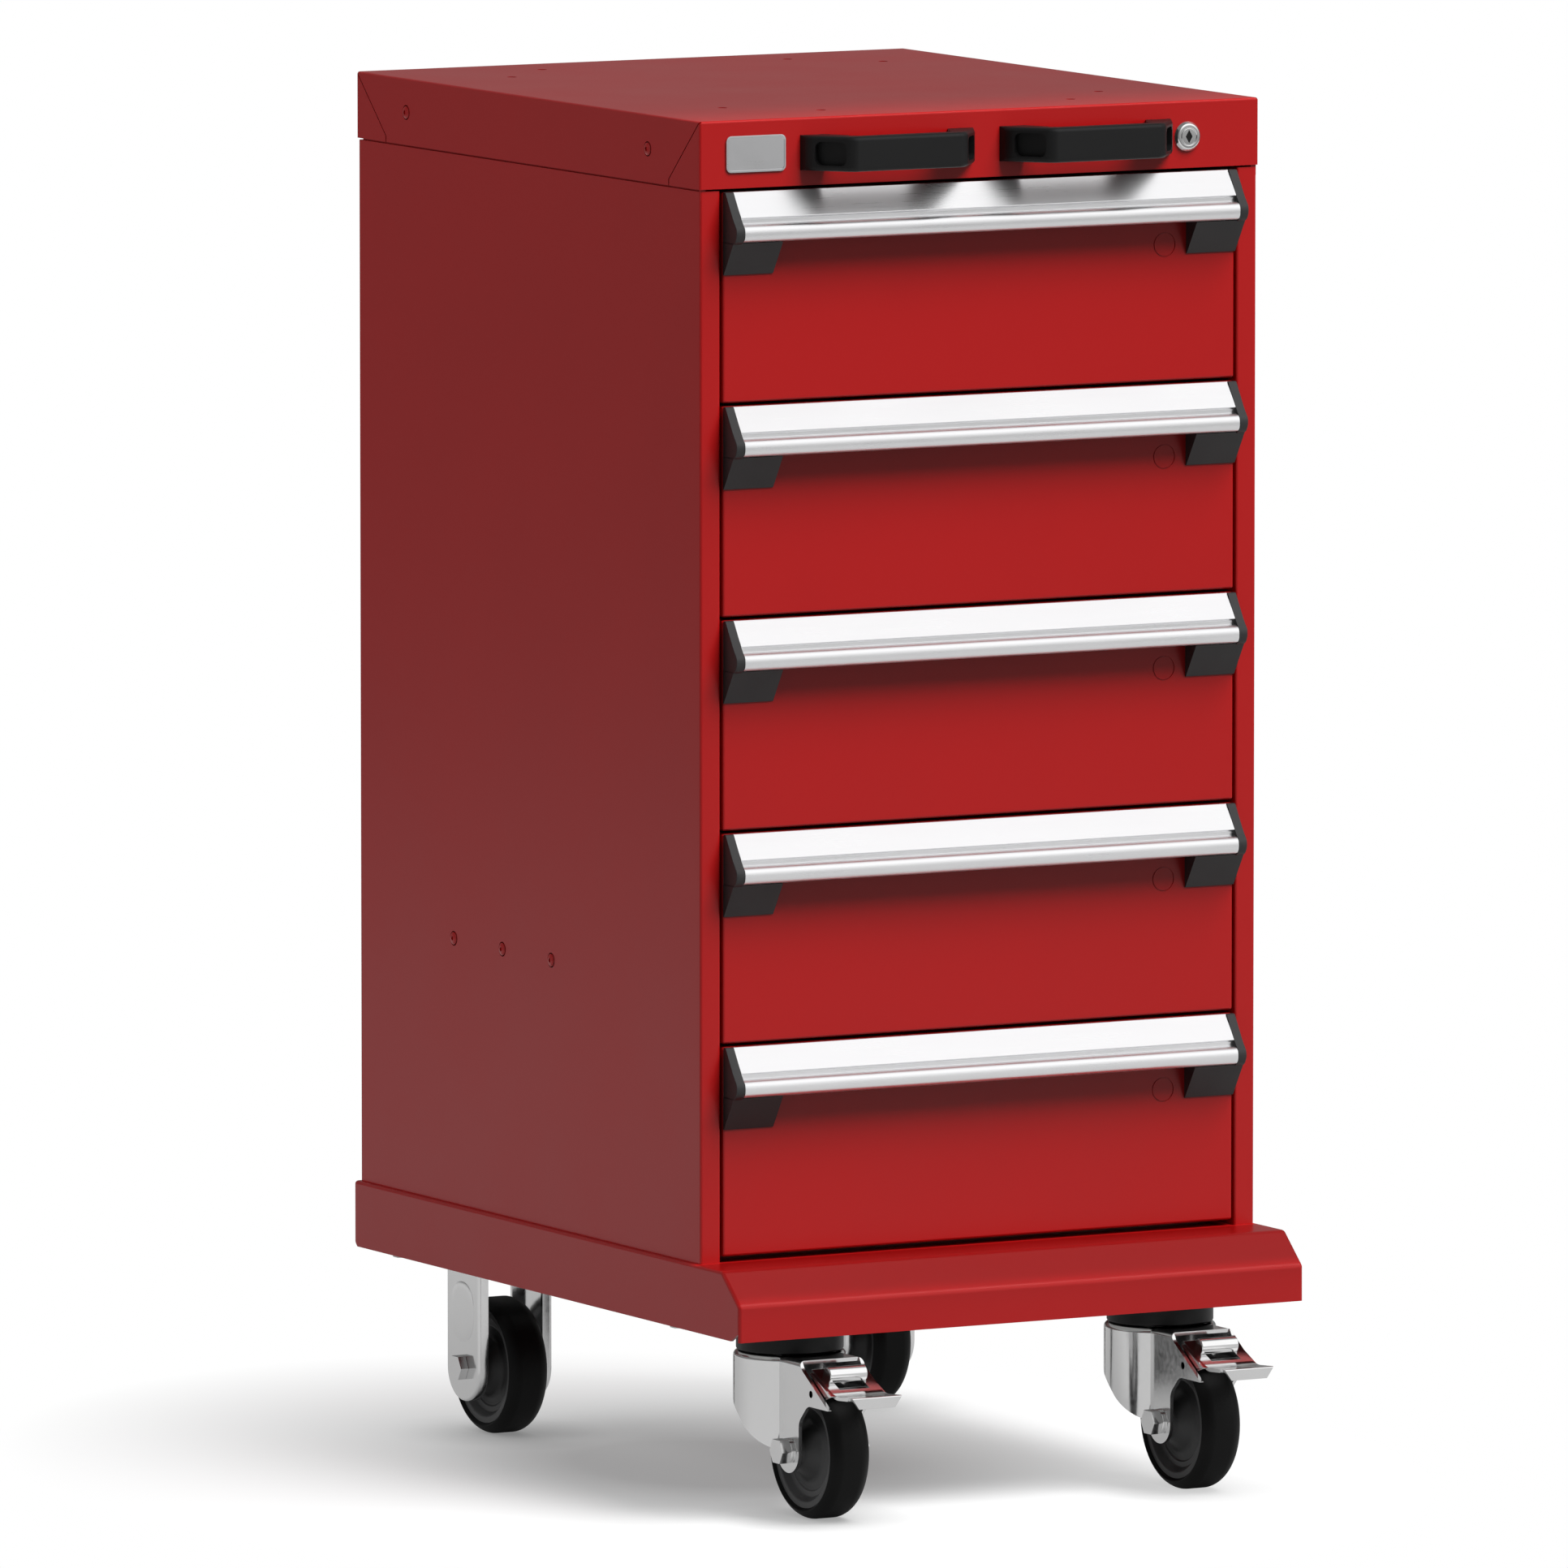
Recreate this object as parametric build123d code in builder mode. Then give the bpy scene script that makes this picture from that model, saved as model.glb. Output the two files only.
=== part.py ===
from build123d import *
import os
from math import cos, radians, sin, sqrt

# Mobile drawer cabinet: millimetres, +Z up, front towards -Y, floor at z = 0.
# The origin is on the floor, under the middle of the whole outline.

# Sheet metal
sheet = 1.5
base_sheet = 2.0
fork_sheet = 2.7
drawer_sheet = 1.2

# Clearances
slide_clearance = 0.3
running_clearance = 0.05
bolt_clearance = 0.1
weld_gap = 0.05

# Top cover
cover_width = 456.0
cover_depth = 524.0
cover_height = 48.4
cover_overhang = 1.0
shadow_gap = 1.4
seam_width = 0.7
seam_depth = 0.5
seam_run = 46.0
seam_foot = 4.5

# Housing
post_width = 16.2
post_return = 25.0
rear_flange = 27.0
sill_height = 4.3
tongue_inset = 36.0

# Drawers
drawer_count = 5
drawer_pitch = 152.4
drawer_gap = 2.4
drawer_side_gap = 2.0
drawer_front_depth = 14.0
drawer_rear_gap = 47.0
drawer_head_room = 22.0
drawer_floor_rise = 5.0
knockout_radius = 9.0
knockout_groove = 0.7
knockout_inset = 57.8
knockout_drop = 52.0

# Slides: sections are seen along the travel, measured outwards from the drawer box
rail_sheet = 2.0
rail_half_height = 22.0
rail_rise = 40.0
rail_bar_gap = 4.7
rail_rear_gap = 29.0
drawer_rail_width = 9.5
carriage_width = 12.0
carriage_inner_gap = 2.5
carriage_outer_gap = 0.5
carriage_rear_gap = 2.0
cabinet_rail_width = 7.5
rail_foot_length = 24.0
rail_foot_height = 20.0
rail_foot_inset = 28.0

# Drawer handle strip: reach is outwards from the drawer front, drop is down from its top
label_top_reach = 3.5
label_reach = 14.7
label_drop = 17.7
groove_depth = 2.1
groove_height = 4.3
nose_step = 1.3
nose_bulge = 5.0
nose_height = 13.0
lip_wall = 2.0
flange_wall = 1.8
flange_rise = 0.5
cap_width = 7.0
cap_block_width = 40.0
cap_block_height = 24.0
cap_block_foot = 1.0

# Row of fittings on the cover's front, from left to right
plate_margin = 21.0
plate_gap = 12.0
push_gap = 22.0
lock_gap = 3.2
lock_margin = 48.2

# Push handles on the cover
push_handle_length = 140.0
push_leg_run = 24.0
push_handle_reach = 35.0
push_grip_depth = 13.0
push_handle_height = 25.0
push_foot_width = 20.0
push_handle_round = 3.0
push_foot_step = 8.0
push_foot_slant = 2.0
push_pocket_depth = 7.0
push_pocket_width = 13.0
push_pocket_length = 23.0
push_drop = 25.0
push_screw_radius = 3.0
push_screw_depth = 8.0
push_screw_tip = 1.0

# Lock
lock_drop = 25.7
bezel_radius = 10.8
bezel_depth = 3.0
bezel_taper = 20.0
lock_body_radius = 9.0
lock_nut_radius = 13.0
lock_nut_depth = 4.0
plug_radius = 6.0
keyway_width = 5.6
keyway_height = 9.6
keyway_depth = 6.0
crank_radius = 10.0
crank_rest_angle = -45.0
cam_thickness = 3.0
cam_half_width = 5.0
cam_bar_gap = 3.0
crank_pin_radius = 2.5
crank_pin_play = 0.8
lock_bar_thickness = 3.0
lock_bar_side_gap = 1.9
lock_arm_half_height = 8.0
lock_finger_height = 10.0
lock_finger_reach = 14.0
lock_finger_gap = 6.0
catch_drop = 6.0
catch_height = 12.0
catch_width = 13.0
catch_foot = 16.0
catch_gap = 2.7

# Small plate on the cover
plate_width = 48.0
plate_height = 26.0
plate_thickness = 1.2
plate_corner = 4.0

# Button heads
button_radius = 4.65
button_height = 1.2
button_taper = 25.0
button_stem_radius = 2.5
button_tip = 0.6
cover_screw_inset = 77.5
cover_screw_drop = 24.7
top_plug_radius = 3.5
top_plug_recess = 0.3
top_plug_rim = 1.5
top_plug_insets = [(74.0, 102.0), (126.0, 51.0)]
side_button_rise = 194.0
side_button_first = -35.5
side_button_pitch = 75.0
side_button_count = 3

# Base pan
base_height = 48.5
base_side_overhang = 4.0
base_rear_overhang = 3.4
ledge_depth = 38.6
nose_slope_depth = 25.9
nose_slope_drop = 22.5
base_lip = 26.0
base_lip_setback = 60.0
base_corner_cut = 5.0
base_notch_run = 10.5
base_notch_rise = 6.0
channel_width = 100.0
channel_sheet = 2.5
channel_setback = 3.6

# Casters
caster_head = 35.5
caster_side_inset = 79.0
front_caster_setback = 43.6
rear_caster_inset = 75.0
plate_rim_x = 9.4
plate_rim_y = 1.9
caster_plate_thickness = 4.0
bolt_edge_x = 10.0
bolt_edge_y = 12.5
bolt_radius = 4.0
bolt_hole_radius = 4.5
bolt_head_radius = 7.0
bolt_head_height = 2.0
nut_height = 6.5
lip_bolt_head_height = 3.0
front_lip_bolt_inset = 17.0
rear_lip_bolt_inset = 23.0

# Wheels
wheel_diameter = 100.0
tyre_width = 32.0
tyre_flat = 12.0
tyre_shoulder = 6.0
tyre_thickness = 8.0
rim_inset = 2.5
rim_lip = 4.5
web_step = 2.5
web_width = 14.0
hub_radius = 12.0
hub_flare = 2.0
hub_play = 0.3
axle_radius = 5.0
axle_collar_radius = 9.0
axle_collar = 2.0
axle_head_radius = 9.8
front_axle_head = 7.8
rear_axle_head = 6.4

# Rear forks
rear_fork_gap = 56.0
rear_leg_width = 50.0
rear_flange_width = 5.5
rear_flange_length = 61.5
emboss_width = 34.0
emboss_height = 44.0
emboss_rise = 0.5
emboss_thickness = 0.8

# Front forks: places are measured forwards from the swivel axis, drops down from the crown
fork_gap = 46.0
hood_radius = 40.6
hood_foot_drop = 28.0
hood_joint_forward = 3.0
hood_joint_drop = 49.7
raceway_height = 15.5
trail = 44.0
leg_round = 16.0
cutout_run = 13.0
wing_top_run = 4.0
wing_run = 44.0
wing_top_drop = 5.5
wing_foot_drop = 30.6
dust_ring_inset = 2.1
dust_ring_wall = 8.0
dust_ring_height = 15.0
raceway_gap = 0.5
kingpin_radius = 6.0
kingpin_head_radius = 10.0
kingpin_head = 3.5

# Brake pedals: places and drops as on the front forks
pedal_overhang = 25.0
pedal_sheet = 2.5
pedal_inset = 3.0
pedal_ear_gap = 0.8
pedal_pin_setback = 26.0
pedal_pin_radius = 3.0
pedal_tyre_gap = 3.0
pedal_ear_radius = 6.5
pedal_top_run = 4.0
pedal_top_drop = 5.0
pedal_fold_drop = 20.5
pedal_front_rise = 1.9
pedal_lip_height = 8.4
pedal_lip_taper = 5.5
pedal_window_half = 12.0
pedal_window_near_run = 11.0
pedal_window_far_run = 8.0
pedal_roll_radius = 5.8
pedal_roll_half_length = 15.0
pedal_roll_run = 4.0
pedal_roll_drop = 8.0

# Sizes of the housing and the base
body_width = cover_width - 2 * cover_overhang
body_depth = cover_depth - 2 * cover_overhang
side_x = body_width / 2
base_x = side_x + base_side_overhang
opening_x = side_x - post_width
front_width = 2 * (opening_x - drawer_side_gap)
front_height = drawer_pitch - drawer_gap

# Sizes of the wheels and the rear forks
axle_z = wheel_diameter / 2
rim_radius = axle_z - tyre_thickness
tyre_side_radius = axle_z - tyre_shoulder
rim_lip_radius = rim_radius - rim_lip
web_radius = rim_lip_radius - web_step
rim_width = tyre_width - 2 * rim_inset
leg_outer = fork_gap / 2 + fork_sheet
rear_leg_outer = rear_fork_gap / 2 + fork_sheet
caster_x = base_x - caster_side_inset
caster_height = wheel_diameter + caster_head
caster_plate_bottom = caster_height - caster_plate_thickness
rear_flange_foot = caster_plate_bottom - rear_flange_length
plate_length = 2 * (hood_radius + plate_rim_x)
plate_depth = 2 * (hood_radius + plate_rim_y)
bolt_spacing_x = plate_length - 2 * bolt_edge_x
bolt_spacing_y = plate_depth - 2 * bolt_edge_y

# Sizes of the front forks and pedals
fork_top = caster_plate_bottom - raceway_height
fork_underside = fork_top - fork_sheet
hood_foot = fork_top - hood_foot_drop
hood_joint_height = fork_top - hood_joint_drop
leg_front = trail + leg_round
cutout_front = leg_front + cutout_run
wing_top_front = leg_front + wing_top_run
wing_top = fork_top - wing_top_drop
wing_front = leg_front + wing_run
wing_foot = fork_top - wing_foot_drop
dust_ring_radius = hood_radius - dust_ring_inset
dust_ring_top = fork_top + dust_ring_height
raceway_radius = dust_ring_radius - dust_ring_wall - raceway_gap
pedal_reach = wing_front + pedal_overhang
pedal_half_width = fork_gap / 2 - pedal_inset
pedal_pin_forward = wing_front - pedal_pin_setback
pedal_pin_swing = axle_z + pedal_tyre_gap + pedal_pin_radius
pedal_pin_height = axle_z + sqrt(pedal_pin_swing**2 - (pedal_pin_forward - trail) ** 2)
pedal_top_forward = wing_top_front + pedal_top_run
pedal_top_height = fork_top - pedal_top_drop
pedal_fold_forward = wing_front
pedal_fold_height = fork_top - pedal_fold_drop
pedal_front_height = pedal_fold_height + pedal_front_rise
pedal_window_near = pedal_top_forward + pedal_window_near_run
pedal_window_far = pedal_fold_forward - pedal_window_far_run
pedal_roll_forward = pedal_pin_forward + pedal_roll_run
pedal_roll_height = fork_top - pedal_roll_drop

# Places in the whole part
front_caster_inset = front_caster_setback - ledge_depth
front_reach = body_depth / 2 - front_caster_inset + pedal_reach
rear_reach = body_depth / 2 + base_rear_overhang
housing_y = (front_reach - rear_reach) / 2
front_y = housing_y - body_depth / 2
rear_y = housing_y + body_depth / 2
cover_front_y = front_y - cover_overhang
base_bottom = caster_height - base_sheet
base_top = base_bottom + base_height
opening_bottom = base_top + sill_height
cover_bottom = opening_bottom + drawer_count * drawer_pitch
cover_top = cover_bottom + cover_height
body_top = cover_bottom - shadow_gap
swivel_y = front_y + front_caster_inset
front_axle_y = swivel_y - trail
rear_axle_y = rear_y - rear_caster_inset
front_channel_start = front_y - ledge_depth + channel_setback
front_channel_y = (front_channel_start, front_channel_start + channel_width)
rear_channel_y = (rear_axle_y - channel_width / 2, rear_axle_y + channel_width / 2)
lip_bolt_x = base_x - base_lip / 2
lip_bolt_y = (front_channel_y[1] - front_lip_bolt_inset, rear_channel_y[1] - rear_lip_bolt_inset)
lip_bolts = [(x, y) for x in (-lip_bolt_x, lip_bolt_x) for y in lip_bolt_y]

# Fittings on the cover
row_gaps = plate_margin + plate_gap + push_gap + lock_gap + lock_margin
row_spread = (cover_width - plate_width - 2 * push_handle_length - 2 * bezel_radius) / row_gaps
plate_x = -cover_width / 2 + row_spread * plate_margin + plate_width / 2
push_left_x = plate_x + plate_width / 2 + row_spread * plate_gap + push_handle_length / 2
push_right_x = push_left_x + push_handle_length + row_spread * push_gap
lock_x = push_right_x + push_handle_length / 2 + row_spread * lock_gap + bezel_radius
lock_z = cover_top - lock_drop
push_z = cover_top - push_drop
push_grip_length = push_handle_length - 2 * push_leg_run
cover_screw_y = cover_depth / 2 - cover_screw_inset
cover_screw_z = cover_top - cover_screw_drop
cover_screw_stem = 2 * sheet + button_tip
side_button_z = base_top + side_button_rise
top_plugs = [(cover_width / 2 - inset_x, cover_depth / 2 - inset_y) for inset_x, inset_y in top_plug_insets]

# Drawer boxes, slides and handle strips
drawer_box_depth = body_depth - drawer_rear_gap
drawer_wall_height = front_height - drawer_floor_rise - drawer_head_room
knockout_x = front_width / 2 - knockout_inset
carriage_outer_x = opening_x - slide_clearance
box_x = carriage_outer_x - carriage_width - carriage_inner_gap - rail_sheet
cabinet_rail_x = carriage_outer_x + carriage_outer_gap
rail_setback = post_return + slide_clearance + lock_bar_thickness + rail_bar_gap
rail_front_y = front_y + rail_setback
carriage_length = drawer_box_depth - rail_setback - carriage_rear_gap
cabinet_rail_length = body_depth - rail_setback - rail_rear_gap
groove_reach = label_reach - groove_depth
nose_root_reach = label_reach + nose_step
nose_reach = nose_root_reach + nose_bulge
nose_top_drop = label_drop + groove_height
nose_bottom_drop = nose_top_drop + nose_height
flange_drop = nose_bottom_drop - flange_rise
cap_block_drop = nose_bottom_drop + cap_block_height

# Lock bar, crank and catches
lock_body_depth = post_return + cover_overhang - cam_bar_gap - cam_thickness
cam_y = cover_front_y + lock_body_depth + slide_clearance
lock_bar_y = front_y + post_return + slide_clearance
lock_bar_x = opening_x + sheet + slide_clearance
lock_bar_width = side_x - sheet - lock_bar_side_gap - lock_bar_x
pin_x = lock_x + crank_radius * cos(radians(crank_rest_angle))
pin_z = lock_z + crank_radius * sin(radians(crank_rest_angle))
catch_rise = drawer_floor_rise + drawer_wall_height - catch_drop - catch_height
catch_y = lock_bar_y + lock_bar_thickness + catch_gap
lock_finger_rise = catch_rise - lock_finger_gap - lock_finger_height

drawers = range(1, drawer_count + 1)
sides = {"left": -1, "right": 1}


def drawer_bottom(number):
    """Lower edge of a drawer front, counted from the top drawer."""
    return opening_bottom + (drawer_count - number) * drawer_pitch


def slab(x, y, z, mode=Mode.ADD):
    """Box between two opposite corners, given as pairs along X, Y and Z."""
    with Locations(((x[0] + x[1]) / 2, (y[0] + y[1]) / 2, (z[0] + z[1]) / 2)):
        Box(abs(x[1] - x[0]), abs(y[1] - y[0]), abs(z[1] - z[0]), mode=mode)


def save(piece, name):
    """Name a finished piece and write its file."""
    piece.part.label = name
    export_step(piece.part, f"parts/{name}.step")


def side_panel(side):
    """Side sheet with its front post, rear flange and the tongue inside the cover."""
    outer = side * side_x
    skin = side * (side_x - sheet)
    tongue_outer = side * (cover_width / 2 - sheet)
    tongue_inner = tongue_outer - side * sheet
    with BuildPart() as panel:
        slab((outer, skin), (front_y, rear_y), (base_top, body_top))
        slab((outer, side * opening_x), (front_y, front_y + sheet), (base_top, body_top))
        slab(
            (side * opening_x, side * (opening_x + sheet)),
            (front_y, front_y + post_return),
            (base_top, body_top),
        )
        slab((outer, side * (side_x - rear_flange)), (rear_y - sheet, rear_y), (base_top, body_top))
        slab(
            (tongue_outer, tongue_inner),
            (front_y + tongue_inset, rear_y - tongue_inset),
            (body_top - 2 * sheet, cover_top - sheet),
        )
        with BuildSketch(Plane.YZ.offset(side * side_x)):
            with Locations(
                (housing_y - cover_screw_y, cover_screw_z),
                (housing_y + cover_screw_y, cover_screw_z),
            ):
                Circle(button_stem_radius + bolt_clearance)
            for count in range(side_button_count):
                with Locations((housing_y + side_button_first + count * side_button_pitch, side_button_z)):
                    Circle(button_stem_radius + bolt_clearance)
        extrude(amount=2 * cover_screw_stem, both=True, mode=Mode.SUBTRACT)
    return panel


def back_panel():
    """Flat sheet behind the drawers, in front of the rear flanges."""
    with BuildPart() as panel:
        slab(
            (-side_x + sheet, side_x - sheet),
            (rear_y - 2 * sheet, rear_y - sheet),
            (base_top + 2 * sheet, body_top),
        )
    return panel


def housing_floor():
    """Floor tray that closes the housing under the lowest drawer, behind the posts."""
    half = side_x - sheet
    with BuildPart() as floor:
        slab((-half, half), (front_y + post_return, rear_y - sheet), (base_top, base_top + 2 * sheet))
        slab(
            (-half + sheet, half - sheet),
            (front_y + post_return + sheet, rear_y - 2 * sheet),
            (base_top, base_top + sheet),
            mode=Mode.SUBTRACT,
        )
    return floor


def top_cover():
    """Cover with its skirt, the corner seams and the holes for what it carries."""
    half = cover_width / 2
    cover_rear_y = rear_y + cover_overhang
    with BuildPart() as cover:
        slab((-half, half), (cover_front_y, cover_rear_y), (cover_bottom, cover_top))
        slab(
            (-half + sheet, half - sheet),
            (cover_front_y + sheet, cover_rear_y - sheet),
            (cover_bottom, cover_top - sheet),
            mode=Mode.SUBTRACT,
        )
        for side in sides.values():
            for corner_y, inwards in ((cover_front_y, 1), (cover_rear_y, -1)):
                with BuildSketch(Plane.YZ.offset(side * half)):
                    with BuildLine():
                        Polyline(
                            (corner_y, cover_top),
                            (corner_y + inwards * seam_run, cover_bottom + seam_foot),
                            (corner_y + inwards * seam_run, cover_bottom),
                        )
                    trace(line_width=seam_width)
                extrude(amount=seam_depth, both=True, mode=Mode.SUBTRACT)
            with BuildSketch(Plane.YZ.offset(side * half)):
                with Locations(
                    (housing_y - cover_screw_y, cover_screw_z),
                    (housing_y + cover_screw_y, cover_screw_z),
                ):
                    Circle(button_stem_radius + bolt_clearance)
            extrude(amount=2 * sheet, both=True, mode=Mode.SUBTRACT)
        with BuildSketch(Plane.XY.offset(cover_top)):
            for plug_x, plug_y in top_plugs:
                with Locations((0, housing_y)):
                    with GridLocations(2 * plug_x, 2 * plug_y, 2, 2):
                        Circle(top_plug_radius + bolt_clearance)
        extrude(amount=2 * sheet, both=True, mode=Mode.SUBTRACT)
        with BuildSketch(Plane.XZ.offset(-cover_front_y)):
            with Locations((lock_x, lock_z)):
                Circle(lock_body_radius + bolt_clearance)
            for handle_x in (push_left_x, push_right_x):
                with Locations((handle_x, push_z)):
                    with GridLocations(push_handle_length - push_foot_width, 1, 2, 1):
                        Circle(push_screw_radius + bolt_clearance)
        extrude(amount=2 * sheet, both=True, mode=Mode.SUBTRACT)
    return cover


def base_outline(inset):
    """Corner points of the base pan seen from the side, drawn in by a wall."""
    slope = sqrt(nose_slope_depth**2 + nose_slope_drop**2)
    ledge_shift = inset * (slope - nose_slope_depth) / nose_slope_drop
    nose_shift = inset * (slope - nose_slope_drop) / nose_slope_depth
    ledge_y = front_y - ledge_depth
    nose_y = ledge_y - nose_slope_depth
    back_y = rear_y + base_rear_overhang - inset
    return [
        (back_y, base_bottom),
        (back_y, base_top - inset),
        (ledge_y + ledge_shift, base_top - inset),
        (nose_y + inset, base_top - nose_slope_drop - nose_shift),
        (nose_y + inset, base_bottom),
    ]


def base_pan():
    """Folded pan under the housing, with the sloped front ledge and the side lips."""
    half = base_x
    back_y = rear_y + base_rear_overhang
    notch_y = front_y - ledge_depth - nose_slope_depth + base_sheet
    with BuildPart() as pan:
        with BuildSketch(Plane.YZ.offset(-half)):
            with BuildLine():
                Polyline(*base_outline(0), close=True)
            make_face()
        extrude(amount=2 * half)
        with BuildSketch(Plane.YZ.offset(-half + base_sheet)):
            with BuildLine():
                Polyline(*base_outline(base_sheet), close=True)
            make_face()
        extrude(amount=2 * (half - base_sheet), mode=Mode.SUBTRACT)
        for side in sides.values():
            slab(
                (side * half, side * (half - base_lip)),
                (front_y - ledge_depth + base_lip_setback, back_y),
                (base_bottom, base_bottom + base_sheet),
            )
        with Locations(*[(x, y, base_bottom) for x, y in lip_bolts]):
            Cylinder(bolt_hole_radius, 4 * base_sheet, mode=Mode.SUBTRACT)
        with BuildSketch(Plane.YZ.offset(-half)):
            with BuildLine():
                Polyline(
                    (back_y, base_bottom),
                    (back_y, base_bottom + base_corner_cut),
                    (back_y - base_corner_cut, base_bottom),
                    close=True,
                )
            make_face()
            with BuildLine():
                Polyline(
                    (notch_y, base_bottom),
                    (notch_y, base_bottom + base_notch_rise),
                    (notch_y + base_notch_run, base_bottom),
                    close=True,
                )
            make_face()
        extrude(amount=2 * half, mode=Mode.SUBTRACT)
    return pan


def caster_channels():
    """Two box channels across the base pan that carry the casters."""
    half = base_x - base_sheet
    underside = caster_height
    deck = base_top - base_sheet
    with BuildPart() as channels:
        for span in (front_channel_y, rear_channel_y):
            slab((-half, half), span, (underside, deck))
            slab(
                (-half, half),
                (span[0] + channel_sheet, span[1] - channel_sheet),
                (underside + channel_sheet, deck - channel_sheet),
                mode=Mode.SUBTRACT,
            )
        with Locations(*[(x, y, underside) for x, y in lip_bolts]):
            Cylinder(bolt_hole_radius, 4 * channel_sheet, mode=Mode.SUBTRACT)
        for caster_y in (swivel_y, rear_axle_y):
            with Locations((-caster_x, caster_y, underside), (caster_x, caster_y, underside)):
                with GridLocations(bolt_spacing_x, bolt_spacing_y, 2, 2):
                    Cylinder(bolt_hole_radius, 4 * channel_sheet, mode=Mode.SUBTRACT)
    return channels


def base_bolts():
    """Bolts with their nuts: four for each caster plate and one for each end of a channel."""
    plate_bottom = caster_plate_bottom
    nut_seat = caster_height + channel_sheet
    seat_up = (Align.CENTER, Align.CENTER, Align.MIN)
    seat_down = (Align.CENTER, Align.CENTER, Align.MAX)
    with BuildPart() as bolts:
        for caster_y in (swivel_y, rear_axle_y):
            for caster_side in sides.values():
                with Locations((caster_side * caster_x, caster_y, plate_bottom)):
                    with GridLocations(bolt_spacing_x, bolt_spacing_y, 2, 2):
                        Cylinder(bolt_radius, nut_seat + nut_height - plate_bottom, align=seat_up)
                        Cylinder(bolt_head_radius, bolt_head_height, align=seat_down)
                with Locations((caster_side * caster_x, caster_y, nut_seat)):
                    with GridLocations(bolt_spacing_x, bolt_spacing_y, 2, 2):
                        Cylinder(bolt_head_radius, nut_height, align=seat_up)
        with Locations(*[(x, y, base_bottom) for x, y in lip_bolts]):
            Cylinder(bolt_radius, nut_seat + nut_height - base_bottom, align=seat_up)
            Cylinder(bolt_head_radius, lip_bolt_head_height, align=seat_down)
        with Locations(*[(x, y, nut_seat) for x, y in lip_bolts]):
            Cylinder(bolt_head_radius, nut_height, align=seat_up)
    return bolts


def push_handles():
    """Two moulded bridge handles on the front of the cover."""
    half = push_handle_length / 2
    grip = push_grip_length / 2
    low_z = push_z - push_handle_height / 2
    step_x = half - push_foot_slant
    leg_run = step_x - grip
    leg_rise = push_handle_reach - push_foot_step
    leg_length = sqrt(leg_run**2 + leg_rise**2)
    inner_y = push_handle_reach - push_grip_depth
    with BuildPart() as handles:
        for centre_x in (push_left_x, push_right_x):
            with BuildSketch(Plane.XY.offset(low_z)):
                with BuildLine():
                    Polyline(
                        (centre_x - half, cover_front_y),
                        (centre_x - step_x, cover_front_y - push_foot_step),
                        (centre_x - grip, cover_front_y - push_handle_reach),
                        (centre_x + grip, cover_front_y - push_handle_reach),
                        (centre_x + step_x, cover_front_y - push_foot_step),
                        (centre_x + half, cover_front_y),
                        (centre_x + half - push_foot_width, cover_front_y),
                        (centre_x + grip - push_foot_step, cover_front_y - inner_y),
                        (centre_x - grip + push_foot_step, cover_front_y - inner_y),
                        (centre_x - half + push_foot_width, cover_front_y),
                        close=True,
                    )
                make_face()
            extrude(amount=push_handle_height)
        outer_edges = handles.edges().filter_by_position(
            Axis.Y, cover_front_y - push_handle_reach - 1, cover_front_y - push_foot_step + 1
        )
        fillet(outer_edges, radius=push_handle_round)
        for centre_x in (push_left_x, push_right_x):
            for side in sides.values():
                middle = (
                    centre_x + side * (step_x + grip) / 2,
                    cover_front_y - (push_foot_step + push_handle_reach) / 2,
                    push_z,
                )
                outwards = (side * leg_rise / leg_length, -leg_run / leg_length, 0)
                along = (side * leg_run / leg_length, leg_rise / leg_length, 0)
                with BuildSketch(Plane(origin=middle, x_dir=along, z_dir=outwards)):
                    SlotOverall(push_pocket_length, push_pocket_width)
                extrude(amount=-push_pocket_depth, mode=Mode.SUBTRACT)
        with BuildSketch(Plane.XZ.offset(-cover_front_y)):
            for centre_x in (push_left_x, push_right_x):
                with Locations((centre_x, push_z)):
                    with GridLocations(push_handle_length - push_foot_width, 1, 2, 1):
                        Circle(push_screw_radius + bolt_clearance)
        extrude(amount=push_screw_depth + push_screw_tip, mode=Mode.SUBTRACT)
    return handles


def push_handle_screws():
    """Screws from inside the cover into the feet of the push handles."""
    with BuildPart() as screws:
        for centre_x in (push_left_x, push_right_x):
            with BuildSketch(Plane.XZ.offset(-cover_front_y - sheet)):
                with Locations((centre_x, push_z)):
                    with GridLocations(push_handle_length - push_foot_width, 1, 2, 1):
                        Circle(push_screw_radius)
            extrude(amount=sheet + push_screw_depth)
            with BuildSketch(Plane.XZ.offset(-cover_front_y - sheet)):
                with Locations((centre_x, push_z)):
                    with GridLocations(push_handle_length - push_foot_width, 1, 2, 1):
                        Circle(2 * push_screw_radius)
            extrude(amount=-push_screw_radius)
    return screws


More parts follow.
